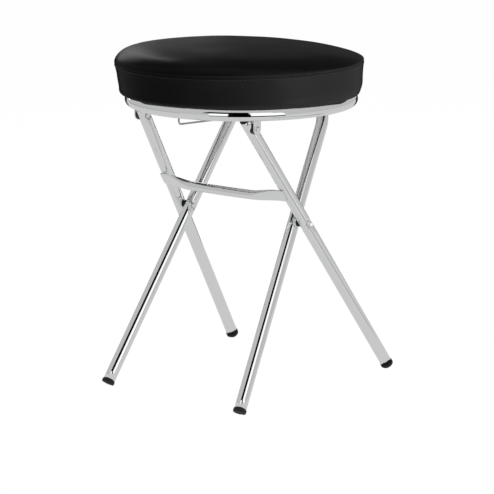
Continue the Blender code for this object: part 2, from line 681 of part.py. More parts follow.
def foam_pad(carrier):
    """Foam between the board and the cover."""
    base = SEAM_HEIGHT
    bottom = BOARD_TOP + GAP
    over = top_profile(SEAM_RADIUS - COVER_INSET, COVER_INSET)
    top = [(radius, base + height) for radius, height in over]
    profile = top[:-1] + side_profile(COVER_INSET, base, bottom) + [(0.0, bottom)]
    pad = turned_object("foam_pad", profile, PARTS, Matrix(), steps=SEAT_STEPS)
    return finish_part(pad, FOAM, carrier)


def seat_board(holes, carrier):
    """Plywood disc inside the cover, rounded under its edge."""
    radius = COVER_FOOT_RADIUS - COVER_INSET
    edge = COVER_FOOT_EDGE - COVER_INSET
    profile = [(0.0, BOARD_TOP), (radius, BOARD_TOP)]
    profile += arc((radius - edge, BOARD_BOTTOM + edge), edge, 0, -90, EDGE_STEPS)
    profile += [(0.0, BOARD_BOTTOM)]
    board = turned_object("seat_board", profile, PARTS, Matrix(), steps=SEAT_STEPS)
    cut(board, *holes)
    return finish_part(board, PLYWOOD, carrier)


def keeper_wire(carrier):
    """Wire loop under the board, both ends held in it."""
    held = BOARD_BOTTOM + WIRE_GRIP
    corners = [Vector((0.0, WIRE_FRONT_Y, held)),
               Vector((0.0, WIRE_FRONT_Y, BOARD_BOTTOM - WIRE_FRONT_DROP)),
               Vector((0.0, WIRE_BACK_Y, BOARD_BOTTOM - WIRE_BACK_DROP)),
               Vector((0.0, WIRE_BACK_Y, held))]
    run = rounded_run(corners, WIRE_BEND_RADIUS, 5)
    mesh = bar_mesh("keeper_wire", run, WIRE_RADIUS, WIRE_ROUNDNESS)
    return finish_part(new_object("keeper_wire", mesh, PARTS), WIRE_STEEL, carrier)


# Assembly

def build_outer_frame(base, pivot_holes, hinge_holes):
    envelopes = {side: leg_envelope(f"leg_envelope_{word}", side) for word, side in SIDES.items()}
    for word, side in SIDES.items():
        outer_leg(f"outer_leg_{word}", side, pivot_holes[side], hinge_holes[side], base)
        leg_plug(f"leg_plug_{word}", side, base)
        hinge_spacer(f"hinge_spacer_{word}", side, envelopes[side], hinge_holes[side], base)
        rivet(f"pivot_rivet_{word}", side * dimple_floor_x(INNER_HALF_WIDTH, -1),
              side * dimple_floor_x(OUTER_HALF_WIDTH, 1), PIVOT, base)
        rivet(f"hinge_rivet_{word}", side * dimple_floor_x(HINGE_LEG_X, -1),
              side * (LUG_INNER_X + LUG_THICKNESS), HINGE, base)
        foot(f"outer_foot_{word}", side, OUTER_PLANE, OUTER_HALF_WIDTH, OUTER_SPLAY,
             OUTER_DIRECTION, FLOOR, base)
    stretcher(envelopes.values(), base)


def build_inner_frame(carrier, pivot_holes):
    inner_tube(pivot_holes.values(), carrier)
    for word, side in SIDES.items():
        pivot_washer(f"pivot_washer_{word}", side, pivot_holes[side], carrier)
        foot(f"inner_foot_{word}", side, INNER_PLANE, INNER_HALF_WIDTH, INNER_SPLAY,
             INNER_DIRECTION, FLOOR, carrier)


def build_seat(carrier, hinge_holes):
    ring_envelope = mark_cutter(torus_object("ring_envelope", RING_RADIUS, TUBE_RADIUS + GAP, CUTTERS))
    seat_ring(carrier)
    for word, side in SIDES.items():
        hinge_lug(f"hinge_lug_{word}", side, ring_envelope, hinge_holes[side], carrier)
    holes = []
    for number, angle in enumerate(TAB_ANGLES, 1):
        place = screw_place(angle)
        start = place - Vector((0.0, 0.0, SCREW_HEAD_HEIGHT))
        end = place + Vector((0.0, 0.0, SCREW_LENGTH + GAP))
        holes.append(cylinder_cutter(f"screw_hole_{number}", start, end, SCREW_RADIUS + GAP))
        ring_tab(f"ring_tab_{number}", angle, ring_envelope, holes[-1], carrier)
        seat_screw(f"seat_screw_{number}", angle, carrier)
    for word, y in (("front", WIRE_FRONT_Y), ("back", WIRE_BACK_Y)):
        start = Vector((0.0, y, COVER_BOTTOM - WIRE_BEND_RADIUS))
        end = Vector((0.0, y, BOARD_BOTTOM + WIRE_GRIP + GAP))
        holes.append(cylinder_cutter(f"wire_hole_{word}", start, end, WIRE_RADIUS + GAP))
    keeper_wire(carrier)
    seat_board(holes, carrier)
    cover_band(holes, carrier)
    foam_pad(carrier)
    cover_top(carrier)


clear_scene()
PARTS = new_collection("folding_stool")
CUTTERS = new_collection("folding_stool_cutters")

floor_reach = 2 * PIVOT_HEIGHT
floor_mesh = cone_mesh("floor", floor_reach, floor_reach, TUBE_OD, 4)
FLOOR = mark_cutter(new_object("floor", floor_mesh, CUTTERS, Matrix.Translation((0.0, 0.0, -TUBE_OD))))

outer_base = axis_empty("outer_frame_base", (0.0, 0.0, 0.0))
leg_fold_axis = axis_empty("leg_fold_axis", PIVOT)
seat_tilt_axis = axis_empty("seat_tilt_axis", HINGE)

pivot_hole_cutters = {}
hinge_hole_cutters = {}
for word, side in SIDES.items():
    pivot_hole_cutters[side] = rivet_hole(
        f"pivot_hole_{word}", side * INNER_HALF_WIDTH, side * OUTER_HALF_WIDTH, PIVOT)
    hinge_hole_cutters[side] = rivet_hole(
        f"hinge_hole_{word}", side * HINGE_LEG_X, side * LUG_INNER_X, HINGE)

build_outer_frame(outer_base, pivot_hole_cutters, hinge_hole_cutters)
build_inner_frame(leg_fold_axis, pivot_hole_cutters)
build_seat(seat_tilt_axis, hinge_hole_cutters)
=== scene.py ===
"""Looks of the folding stool: smooth chromed tubes, a padded vinyl seat and a plain studio.

Metres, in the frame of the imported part: X along the fold axis, +Z up, origin on the floor.
"""
import math
from collections import namedtuple

import bmesh
import bpy
from mathutils import Matrix, Quaternion, Vector, noise


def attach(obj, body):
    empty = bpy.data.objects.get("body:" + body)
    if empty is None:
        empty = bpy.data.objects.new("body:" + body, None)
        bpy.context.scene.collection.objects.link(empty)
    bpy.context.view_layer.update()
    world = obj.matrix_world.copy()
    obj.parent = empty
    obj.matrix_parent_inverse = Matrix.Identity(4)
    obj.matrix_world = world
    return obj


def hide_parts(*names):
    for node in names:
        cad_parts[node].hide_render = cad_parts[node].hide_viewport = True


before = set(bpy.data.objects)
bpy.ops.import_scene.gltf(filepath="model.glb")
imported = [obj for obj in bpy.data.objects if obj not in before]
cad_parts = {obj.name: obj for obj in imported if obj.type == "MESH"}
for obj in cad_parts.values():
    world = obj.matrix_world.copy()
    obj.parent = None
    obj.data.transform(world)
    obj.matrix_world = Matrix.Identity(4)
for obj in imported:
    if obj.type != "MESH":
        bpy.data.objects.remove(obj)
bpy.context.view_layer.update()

MM = 0.001
OUTER = "outer_frame"
INNER = "inner_frame_body"
SEAT = "seat"
SIDES = {"left": -1, "right": 1}

# Sizes, nearly all of them shared with the part
TUBE_RADIUS = 8.0 * MM
TUBE_WALL = 1.2 * MM
GAP = 0.3 * MM
PIVOT = Vector((0.0, 0.0, 227.0 * MM))
OUTER_LEAN = math.radians(34.9)
INNER_LEAN = math.radians(34.0)
OUTER_SPLAY = math.radians(6.2)
INNER_SPLAY = math.radians(5.1)
OUTER_HALF_WIDTH = 106.2 * MM
WASHER_THICKNESS = 1.7 * MM
WASHER_RADIUS = 6.0 * MM
INNER_BEND_RADIUS = 60.0 * MM
HINGE_REACH = 167.5 * MM
LEG_PAST_HINGE = 13.8 * MM
LUG_RADIUS = 6.9 * MM
LUG_THICKNESS = 2.0 * MM
SPACER_RADIUS = 7.0 * MM
SPACER_WRAP = 4.4 * MM
SPACER_LEAST = 0.8 * MM
FOOT_RADIUS = 8.75 * MM
FOOT_LENGTH = 5.0 * MM
FOOT_EDGE = 1.6 * MM
FOOT_STEM = 16.0 * MM
FOOT_FLAT = 0.8 * MM
FOOT_RIM = 0.5 * MM
FOOT_CHAMFER = 1.2 * MM    # on the end of the stem
FOOT_HOLLOW_RADIUS = 4.0 * MM
FOOT_HOLLOW_DEPTH = 0.6 * MM
RIVET_RADIUS = 2.5 * MM
RIVET_HEAD_RADIUS = 3.6 * MM
RIVET_HEAD_HEIGHT = 1.5 * MM
DIMPLE_DEPTH = 3.2 * MM
DIMPLE_FLOOR_RADIUS = 4.3 * MM
DIMPLE_RIM_RADIUS = 7.2 * MM
STRETCHER_RISE = 58.0 * MM    # along the outer legs, from the fold axis
STRETCHER_OVERLAP = 3.0 * MM    # past the middle of each leg
STRETCHER_FLAT = 8.0 * MM
STRETCHER_TAPER = 46.0 * MM
STRETCHER_BOW = 1.8 * MM
STRETCHER_RADIUS = 6.25 * MM    # where the tube is still round
STRETCHER_END_HEIGHT = 9.3 * MM    # half height and half thickness where it is pressed flat
STRETCHER_END_THICKNESS = 1.6 * MM
WIRE_RADIUS = 1.25 * MM
WIRE_BEND_RADIUS = 4.5 * MM
WIRE_INSET = 15.2 * MM    # from the ring's middle line to the wire's front
WIRE_LENGTH = 80.0 * MM
WIRE_FRONT_DROP = 28.4 * MM
WIRE_BACK_DROP = 32.7 * MM
WIRE_HELD = 7.0 * MM    # length of its ends in the board
PLUG_RADIUS = TUBE_RADIUS - 0.05 * MM
PLUG_EDGE = 0.75 * MM
PLUG_DOME = 1.4 * MM
PLUG_DEPTH = 4.7 * MM

OUTER_PLANE = Matrix.Translation(PIVOT) @ Matrix.Rotation(math.pi / 2 + OUTER_LEAN, 4, "X")
INNER_PLANE = Matrix.Translation(PIVOT) @ Matrix.Rotation(math.pi / 2 - INNER_LEAN, 4, "X")
HINGE = OUTER_PLANE @ Vector((0.0, HINGE_REACH, 0.0))
HINGE_LEG_X = OUTER_HALF_WIDTH - HINGE_REACH * math.tan(OUTER_SPLAY)
LUG_INNER_X = (HINGE_LEG_X + TUBE_RADIUS / math.cos(OUTER_SPLAY)
               + LUG_RADIUS * math.tan(OUTER_SPLAY) + SPACER_LEAST + GAP)
RING_RADIUS = math.hypot(HINGE_LEG_X, HINGE.y) + 17.1 * MM
RING_HEIGHT = HINGE.z + 19.85 * MM
RING_TOP = RING_HEIGHT + TUBE_RADIUS
COVER_THICKNESS = 1.0 * MM
COVER_FOOT_EDGE = 7.5 * MM
COVER_BOTTOM = RING_TOP + GAP
BOARD_BOTTOM = COVER_BOTTOM + COVER_THICKNESS + GAP
BOARD_TOP = BOARD_BOTTOM + 12.0 * MM
BOARD_RADIUS = RING_RADIUS + 2.0 * MM    # smaller than the solid board, with its edge hidden in the pad
BOARD_EDGE = 1.5 * MM
COVER_FOOT_RADIUS = RING_RADIUS + 14.8 * MM
SEAM_RADIUS = COVER_FOOT_RADIUS + 4.0 * MM
SEAM_HEIGHT = COVER_BOTTOM + 41.5 * MM
SHOULDER_RISE = 15.4 * MM
CROWN_RISE = 3.4 * MM
SHOULDER_POWER = 10.0    # how flat the stuffed top stays before it rounds over
HEM_RADIUS = RING_RADIUS - 27.2 * MM
SCREW_CIRCLE = RING_RADIUS - 18.2 * MM
TAB_ANGLES = [math.radians(angle) for angle in (45.0, 135.0, 225.0, 315.0)]
TAB_THICKNESS = 2.0 * MM
TAB_RADIUS = 9.0 * MM
TAB_HOLE_RADIUS = 2.3 * MM
TAB_OUTER = RING_RADIUS - 5.0 * MM    # at the ring's tube, where the tab is welded
SCREW_HEAD_RADIUS = 4.2 * MM
SCREW_HEAD_HEIGHT = 2.4 * MM
SCREW_RADIUS = 2.0 * MM
SCREW_LENGTH = 13.0 * MM
SCREW_POINT = 3.0 * MM
TOP_BAR_REACH = (BOARD_BOTTOM - GAP - TUBE_RADIUS - PIVOT.z) / math.cos(INNER_LEAN)
STRETCHER_REACH = OUTER_HALF_WIDTH - STRETCHER_RISE * math.tan(OUTER_SPLAY) + STRETCHER_OVERLAP


def frame_direction(plane, splay):
    """Upward direction of the leg at +X in a frame's plane."""
    return (plane.to_3x3() @ Vector((-math.tan(splay), 1.0, 0.0))).normalized()


OUTER_DIRECTION = frame_direction(OUTER_PLANE, OUTER_SPLAY)
INNER_DIRECTION = frame_direction(INNER_PLANE, INNER_SPLAY)
WASHER_AXIS = INNER_DIRECTION.cross(OUTER_DIRECTION).normalized()
WASHER_AXIS *= math.copysign(1.0, WASHER_AXIS.x)
INNER_HALF_WIDTH = OUTER_HALF_WIDTH - (2 * TUBE_RADIUS + WASHER_THICKNESS + 2 * GAP) / WASHER_AXIS.x
Legs = namedtuple("Legs", "body plane half_width splay direction")
OUTER_LEGS = Legs(OUTER, OUTER_PLANE, OUTER_HALF_WIDTH, OUTER_SPLAY, OUTER_DIRECTION)
INNER_LEGS = Legs(INNER, INNER_PLANE, INNER_HALF_WIDTH, INNER_SPLAY, INNER_DIRECTION)


def mirrored(direction, side):
    return direction * Vector((side, 1.0, 1.0))


def leg_point(legs, side, along):
    """Point on a leg's middle line in its frame's plane, at a height from the fold axis."""
    return Vector((side * (legs.half_width - along * math.tan(legs.splay)), along, 0.0))


def tube_end(legs, side):
    """Point in the frame's plane where a leg's tube ends, above its foot."""
    tilt = legs.direction.angle(Vector((0.0, 0.0, 1.0)))
    edge_height = (FOOT_RADIUS - FOOT_EDGE) * math.sin(tilt) + FOOT_EDGE - FOOT_FLAT
    length = (PIVOT.z - edge_height) / math.cos(tilt) - (FOOT_LENGTH - FOOT_EDGE) - GAP
    return leg_point(legs, side, -length * math.cos(legs.splay))


def unit(value):
    """Value held between 0 and 1."""
    return min(max(value, 0.0), 1.0)


def eased(share):
    """Share that starts and ends gently."""
    return share * share * (3 - 2 * share)


def bell(value, middle, width):
    """Bell-shaped weight round a middle value."""
    return math.exp(-((value - middle) / width) ** 2)


# Material helpers

def new_material(name, colour, roughness, metallic=0.0):
    material = bpy.data.materials.new(name)
    material.use_nodes = True
    shader = material.node_tree.nodes["Principled BSDF"]
    shader.inputs["Base Color"].default_value = (*colour, 1.0)
    shader.inputs["Roughness"].default_value = roughness
    shader.inputs["Metallic"].default_value = metallic
    return material, material.node_tree, shader


def object_coordinates(tree, scale=(1.0, 1.0, 1.0)):
    """Object coordinates, stretched by a scale."""
    source = tree.nodes.new("ShaderNodeTexCoord")
    mapping = tree.nodes.new("ShaderNodeMapping")
    mapping.inputs["Scale"].default_value = scale
    tree.links.new(source.outputs["Object"], mapping.inputs["Vector"])
    return mapping.outputs["Vector"]


def noise_texture(tree, vector, scale, detail=3.0, roughness=0.55):
    node = tree.nodes.new("ShaderNodeTexNoise")
    node.inputs["Scale"].default_value = scale
    node.inputs["Detail"].default_value = detail
    node.inputs["Roughness"].default_value = roughness
    tree.links.new(vector, node.inputs["Vector"])
    return node.outputs["Fac"]


def remapped(tree, value, low, high, new_low, new_high):
    node = tree.nodes.new("ShaderNodeMapRange")
    for label, number in (("From Min", low), ("From Max", high), ("To Min", new_low), ("To Max", new_high)):
        node.inputs[label].default_value = number
    tree.links.new(value, node.inputs["Value"])
    return node.outputs["Result"]


def vary_roughness(tree, shader, share, low, high, least, most):
    """Roughness that follows a share."""
    tree.links.new(remapped(tree, share, low, high, least, most), shader.inputs["Roughness"])


def vary_colour(tree, shader, share, first, second):
    """Base colour that follows a share from one colour to another."""
    node = tree.nodes.new("ShaderNodeMix")
    node.data_type = "RGBA"
    node.inputs["A"].default_value = (*first, 1.0)
    node.inputs["B"].default_value = (*second, 1.0)
    tree.links.new(share, node.inputs["Factor"])
    tree.links.new(node.outputs["Result"], shader.inputs["Base Color"])


def bumped(tree, shader, height, strength, distance):
    """Bump on a shader; several are chained, the first made lying lowest."""
    node = tree.nodes.new("ShaderNodeBump")
    node.inputs["Strength"].default_value = strength
    node.inputs["Distance"].default_value = distance
    tree.links.new(height, node.inputs["Height"])
    if shader.inputs["Normal"].links:
        tree.links.new(shader.inputs["Normal"].links[0].from_socket, node.inputs["Normal"])
    tree.links.new(node.outputs["Normal"], shader.inputs["Normal"])


def chrome_finish():
    """Bright chrome with faint haze and the slight waviness of plated tube."""
    material, tree, shader = new_material("bright_chrome", (0.86, 0.865, 0.87), 0.05, 1.0)
    place = object_coordinates(tree)
    haze = noise_texture(tree, place, 38.0, 4.0)
    vary_roughness(tree, shader, haze, 0.35, 0.75, 0.035, 0.085)
    tone = noise_texture(tree, place, 11.0, 2.0)
    vary_colour(tree, shader, tone, (0.83, 0.835, 0.84), (0.89, 0.895, 0.90))
    bumped(tree, shader, noise_texture(tree, place, 60.0, 2.0), 0.02, 0.0001)
    return material


def plated_finish():
    """Dull plated steel of the wire, screws and staples."""
    material, tree, shader = new_material("plated_steel", (0.48, 0.48, 0.49), 0.3, 1.0)
    place = object_coordinates(tree)
    cloud = noise_texture(tree, place, 140.0, 4.0)
    vary_roughness(tree, shader, cloud, 0.3, 0.7, 0.24, 0.42)
    vary_colour(tree, shader, cloud, (0.40, 0.40, 0.41), (0.58, 0.58, 0.57))
    bumped(tree, shader, noise_texture(tree, place, 900.0, 2.0), 0.15, 0.0001)
    return material


def vinyl_finish():
    """Black vinyl with a fine pebbled grain under a thin soft gloss."""
    material, tree, shader = new_material("black_vinyl", (0.030, 0.030, 0.031), 0.5)
    shader.inputs["Specular IOR Level"].default_value = 0.0
    shader.inputs["Coat Weight"].default_value = 0.13
    shader.inputs["Coat Roughness"].default_value = 0.28
    place = object_coordinates(tree)
    tone = noise_texture(tree, place, 26.0, 3.0)
    vary_colour(tree, shader, tone, (0.026, 0.026, 0.027), (0.035, 0.035, 0.036))
    sheen = noise_texture(tree, place, 17.0, 4.0)
    vary_roughness(tree, shader, sheen, 0.3, 0.7, 0.44, 0.58)
    pebble = tree.nodes.new("ShaderNodeTexVoronoi")
    pebble.feature = "SMOOTH_F1"
    pebble.inputs["Scale"].default_value = 950.0
    tree.links.new(place, pebble.inputs["Vector"])
    bumped(tree, shader, pebble.outputs["Distance"], 0.22, 0.00025)
    bumped(tree, shader, noise_texture(tree, place, 420.0, 3.0), 0.10, 0.0003)
    tree.links.new(shader.inputs["Normal"].links[0].from_socket, shader.inputs["Coat Normal"])
    return material


def rubber_finish():
    """Matt black rubber with scuffed, dusty patches."""
    material, tree, shader = new_material("black_rubber", (0.012, 0.012, 0.012), 0.62)
    place = object_coordinates(tree)
    scuff = noise_texture(tree, place, 160.0, 5.0, 0.65)
    dusty = remapped(tree, scuff, 0.52, 0.78, 0.0, 1.0)
    vary_colour(tree, shader, dusty, (0.008, 0.008, 0.008), (0.035, 0.034, 0.033))
    vary_roughness(tree, shader, scuff, 0.3, 0.7, 0.5, 0.72)
    bumped(tree, shader, noise_texture(tree, place, 1300.0, 2.0), 0.2, 0.0002)
    return material


def nylon_finish():
    """Moulded black nylon with a slight satin gloss."""
    material, tree, shader = new_material("black_nylon", (0.009, 0.009, 0.009), 0.42)
    place = object_coordinates(tree)
    cloud = noise_texture(tree, place, 240.0, 3.0)
    vary_roughness(tree, shader, cloud, 0.3, 0.7, 0.36, 0.5)
    bumped(tree, shader, noise_texture(tree, place, 2200.0, 2.0), 0.12, 0.0001)
    return material


def thread_finish():
    """Twisted black sewing thread."""
    material, tree, shader = new_material("black_thread", (0.045, 0.045, 0.045), 0.55)
    twist = noise_texture(tree, object_coordinates(tree), 1500.0, 2.0)
    bumped(tree, shader, twist, 0.3, 0.0002)
    return material


def plywood_finish():
    """Plywood under a thin white wash: long grain along X, with darker streaks and pores."""
    material, tree, shader = new_material("washed_plywood", (0.72, 0.71, 0.69), 0.7)
    streak = noise_texture(tree, object_coordinates(tree, (1.6, 22.0, 8.0)), 9.0, 6.0, 0.6)
    dark = remapped(tree, streak, 0.3, 0.7, 0.0, 1.0)
    vary_colour(tree, shader, dark, (0.75, 0.74, 0.72), (0.68, 0.67, 0.65))
    pores = noise_texture(tree, object_coordinates(tree, (6.0, 160.0, 20.0)), 12.0, 3.0)
    bumped(tree, shader, pores, 0.12, 0.0002)
    return material


CHROME = chrome_finish()
PLATED = plated_finish()
VINYL = vinyl_finish()
RUBBER = rubber_finish()
NYLON = nylon_finish()
THREAD = thread_finish()
PLYWOOD = plywood_finish()


# Mesh helpers

MERGE_DISTANCE = 0.002 * MM
TUBE_SIDES = 64
BEND_STEPS = 30


def mesh_of(name, shape):
    """Mesh from a bmesh, which is let go."""
    mesh = bpy.data.meshes.new(name)
    shape.to_mesh(mesh)
    shape.free()
    return mesh


def linked(name, data):
    """Object at the origin, put in the scene."""
    item = bpy.data.objects.new(name, data)
    bpy.context.scene.collection.objects.link(item)
    return item


def new_piece(name, shape, material, body, slot, *nodes, sharp=35.0):
    """Smooth object from a bmesh, riding on a body and standing for CAD nodes."""
    mesh = mesh_of(name, shape)
    mesh.shade_smooth()
    mesh.set_sharp_from_angle(angle=math.radians(sharp))
    mesh.materials.append(material)
    piece = linked(name, mesh)
    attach(piece, body)
    if nodes:
        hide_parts(*nodes)
    return piece


def aim(point, direction):
    """Placement at a point, with local Z along a direction."""
    return Matrix.Translation(point) @ Vector(direction).to_track_quat("Z", "Y").to_matrix().to_4x4()


def arc(centre, radius, start, end, steps):
    """Points of a flat arc from one angle to another, in degrees."""
    points = []
    for step in range(steps + 1):
        angle = math.radians(start + (end - start) * step / steps)
        points.append((centre[0] + radius * math.cos(angle), centre[1] + radius * math.sin(angle)))
    return points


def profile_line(shape, profile):
    """Verts and edges through (radius, height) points, in the plane of X and Z."""
    verts = [shape.verts.new((radius, 0.0, height)) for radius, height in profile]
    return verts, [shape.edges.new(pair) for pair in zip(verts, verts[1:])]


def edges_at(verts):
    return list({edge for vert in verts for edge in vert.link_edges})


def turned(profile, steps=48, closed=False):
    """Profile of (radius, height) points spun into a closed shape round Z."""
    shape = bmesh.new()
    verts, edges = profile_line(shape, profile)
    if closed:
        edges.append(shape.edges.new((verts[-1], verts[0])))
    return spun(shape, verts, edges, steps)


def spun(shape, verts, edges, steps):
    """Full turn of a profile round Z, closed and facing out."""
    bmesh.ops.spin(shape, geom=verts + edges, cent=(0, 0, 0), axis=(0, 0, 1), angle=2 * math.pi,
                   steps=steps, use_merge=True)
    bmesh.ops.remove_doubles(shape, verts=shape.verts, dist=MERGE_DISTANCE)
    bmesh.ops.recalc_face_normals(shape, faces=shape.faces)
    return shape


def softened(shape, edges, offset, segments):
    """Round off some edges of a shape."""
    bmesh.ops.bevel(shape, geom=edges, offset=offset, offset_type="OFFSET", segments=segments, profile=0.5,
                    affect="EDGES", material=-1, clamp_overlap=True)


def thickened(shape, offset):
    """Give flat faces a thickness along an offset."""
    grown = bmesh.ops.extrude_face_region(shape, geom=shape.faces[:])["geom"]
    moved = [item for item in grown if isinstance(item, bmesh.types.BMVert)]
    bmesh.ops.translate(shape, verts=moved, vec=offset)
    bmesh.ops.recalc_face_normals(shape, faces=shape.faces)


def placed(shape, placement):
    bmesh.ops.transform(shape, matrix=placement, verts=shape.verts)
    return shape


def swept(stations, radius, sides):
    """Round skin through section placements, open at both ends and facing out."""
    shape = bmesh.new()
    start = bmesh.ops.create_circle(shape, cap_ends=False, radius=radius, segments=sides,
                                    matrix=stations[0])
    rim = edges_at(start["verts"])
    for before, after in zip(stations, stations[1:]):
        grown = bmesh.ops.extrude_edge_only(shape, edges=rim)["geom"]
        verts = {item for item in grown if isinstance(item, bmesh.types.BMVert)}
        bmesh.ops.transform(shape, matrix=after @ before.inverted(), verts=list(verts))
        rim = [item for item in grown if isinstance(item, bmesh.types.BMEdge) and set(item.verts) <= verts]
    shape.normal_update()
    shape.faces.ensure_lookup_table()
    face = shape.faces[0]
    if face.normal.dot(face.calc_center_median() - stations[0].translation) < 0:
        bmesh.ops.reverse_faces(shape, faces=shape.faces)
    return shape


def capped(shape):
    """Close the open ends of a skin with flat faces."""
    edges = [edge for edge in shape.edges if edge.is_boundary]
    bmesh.ops.holes_fill(shape, edges=edges, sides=0)
    bmesh.ops.recalc_face_normals(shape, faces=shape.faces)
    return shape


def section_place(plane, point, ahead):
    """Section placement in a frame's plane: local Z runs ahead, local X is square to the plane."""
    square = Vector((0.0, 0.0, 1.0))
    across = ahead.cross(square)
    turn = Matrix((square, across, ahead)).transposed().to_4x4()
    return plane @ Matrix.Translation(point) @ turn


def straight_run(plane, start, end, spots=(), step=12.0 * MM, fine=0.7 * MM, reach=9.0 * MM):
    """Section placements along a straight run, close together round each spot."""
    ahead = (end - start).normalized()
    length = (end - start).length
    middles = [(spot - start).dot(ahead) for spot in spots]
    count = max(round(length / step), 1)
    marks = [length * number / count for number in range(count + 1)]
    marks = [mark for mark in marks if all(abs(mark - middle) > reach + fine for middle in middles)]
    half = round(reach / fine)
    for middle in middles:
        marks += [middle + fine * number for number in range(-half, half + 1)]
    inside = [mark for mark in sorted(marks) if -1e-9 <= mark <= length + 1e-9]
    return [section_place(plane, start + ahead * mark, ahead) for mark in inside]


def bend_run(plane, before, corner, after, radius, steps):
    """Section placements round a bend, and the points where it begins and ends."""
    back = (before - corner).normalized()
    ahead = (after - corner).normalized()
    half_angle = back.angle(ahead) / 2
    centre = corner + (back + ahead).normalized() * (radius / math.sin(half_angle))
    spoke = corner + back * (radius / math.tan(half_angle)) - centre
    axis = ahead.cross(back).normalized()
    places = []
    for step in range(steps + 1):
        turn = Quaternion(axis, (math.pi - 2 * half_angle) * step / steps)
        places.append(section_place(plane, centre + turn @ spoke, turn @ -back))
    return places, centre + spoke, centre + turn @ spoke


def bent_run(plane, points, radius, steps, spots):
    """Section placements along straight runs, each with its spots, joined by a bend at each inner point."""
    stations = []
    start = points[0]
    for number, (before, corner, after) in enumerate(zip(points, points[1:], points[2:])):
        bend, bend_start, bend_end = bend_run(plane, before, corner, after, radius, steps)
        run = straight_run(plane, start, bend_start, spots[number])
        stations += run[min(number, 1):-1] + bend
        start = bend_end
    return stations + straight_run(plane, start, points[-1], spots[-1])[1:]


def smooth_least(first, second, reach):
    """Lesser of two values, rounded where they cross."""
    share = max(reach - abs(first - second), 0.0) / reach
    return min(first, second) - share * share * reach / 4


def press_dimple(shape, centre, leg_x, facing):
    """Press a tube's wall in to a flat round floor under a rivet head."""
    floor = leg_x * facing + TUBE_RADIUS - DIMPLE_DEPTH
    for vert in shape.verts:
        out = vert.co.x * facing
        away = math.hypot(vert.co.y - centre.y, vert.co.z - centre.z)
        if not floor - 1.5 * MM < out < floor + TUBE_RADIUS or away > DIMPLE_RIM_RADIUS + 3 * MM:
            continue
        share = (away - DIMPLE_FLOOR_RADIUS) / (DIMPLE_RIM_RADIUS - DIMPLE_FLOOR_RADIUS)
        wall = floor + DIMPLE_DEPTH * max(share, 0.0) ** 1.3
        vert.co.x = smooth_least(out, wall, 0.7 * MM) * facing


def hollow_wall(piece):
    """Give an open skin the tube's wall, inwards."""
    wall = piece.modifiers.new("Wall", "SOLIDIFY")
    wall.thickness = TUBE_WALL
    wall.offset = -1.0
    return piece


# Frames

def outer_leg(word, side):
    top = leg_point(OUTER_LEGS, side, HINGE_REACH + LEG_PAST_HINGE)
    joints = [leg_point(OUTER_LEGS, side, along) for along in (0.0, HINGE_REACH)]
    stations = straight_run(OUTER_PLANE, tube_end(OUTER_LEGS, side), top, joints)
    shape = swept(stations, TUBE_RADIUS, TUBE_SIDES)
    press_dimple(shape, PIVOT, side * OUTER_HALF_WIDTH, side)
    press_dimple(shape, HINGE, side * HINGE_LEG_X, -side)
    leg = new_piece(f"chromed_outer_leg_{word}", shape, CHROME, OUTER, "chrome", f"outer_leg_{word}")
    return hollow_wall(leg)


def inner_arch():
    """The inner frame: one tube bent over into a top bar."""
    ends = [tube_end(INNER_LEGS, side) for side in (-1, 1)]
    corners = [leg_point(INNER_LEGS, side, TOP_BAR_REACH) for side in (-1, 1)]
    points = [ends[0], *corners, ends[1]]
    pivots = ([leg_point(INNER_LEGS, -1, 0.0)], [], [leg_point(INNER_LEGS, 1, 0.0)])
    stations = bent_run(INNER_PLANE, points, INNER_BEND_RADIUS, BEND_STEPS, pivots)
    shape = swept(stations, TUBE_RADIUS, TUBE_SIDES)
    for side in (-1, 1):
        press_dimple(shape, PIVOT, side * INNER_HALF_WIDTH, -side)
    return hollow_wall(new_piece("chromed_inner_arch", shape, CHROME, INNER, "chrome", "inner_frame"))


def stretcher_section(x):
    """Half height, half thickness, offset and squareness of the stretcher, at a place along X."""
    flat_start = STRETCHER_REACH - STRETCHER_FLAT
    blend = eased(unit((flat_start - abs(x)) / STRETCHER_TAPER))
    half_height = STRETCHER_END_HEIGHT + (STRETCHER_RADIUS - STRETCHER_END_HEIGHT) * blend
    half_thickness = STRETCHER_END_THICKNESS + (STRETCHER_RADIUS - STRETCHER_END_THICKNESS) * blend
    bow = STRETCHER_BOW * max(1 - (x / flat_start) ** 2, 0.0)
    return half_height, half_thickness, TUBE_RADIUS + half_thickness + bow, 5.0 - 3.0 * blend


def stretcher():
    """Tube across the outer legs, pressed flat at its ends, where it is welded on."""
    count = 72
    places = [STRETCHER_REACH * (2 * step / count - 1) for step in range(count + 1)]
    across = Matrix.Rotation(math.pi / 2, 4, "Y")
    stations = [Matrix.Translation((x, STRETCHER_RISE, 0.0)) @ across for x in places]
    shape = swept(stations, TUBE_RADIUS, 48)
    for vert in shape.verts:
        half_height, half_thickness, offset, squareness = stretcher_section(vert.co.x)
        angle = math.atan2(vert.co.z, vert.co.y - STRETCHER_RISE)
        along, out = math.cos(angle), math.sin(angle)
        vert.co.y = STRETCHER_RISE + half_height * math.copysign(abs(along) ** (2 / squareness), along)
        vert.co.z = offset + half_thickness * math.copysign(abs(out) ** (2 / squareness), out)
    capped(shape)
    ends = [edge for edge in shape.edges
            if all(abs(abs(vert.co.x) - STRETCHER_REACH) < 1e-6 for vert in edge.verts)]
    softened(shape, ends, 0.7 * MM, 3)
    placed(shape, OUTER_PLANE)
    return new_piece("chromed_stretcher", shape, CHROME, OUTER, "chrome", "stretcher")


# Pivot and hinge hardware

WELD_LENGTH = 12.5 * MM
WELD_RADIUS = 2.3 * MM
WELD_OVERLAP = 0.8 * MM    # on the lug
WELD_INSET = 2.0 * MM    # inside the ring's middle line
WELD_STEPS = 14


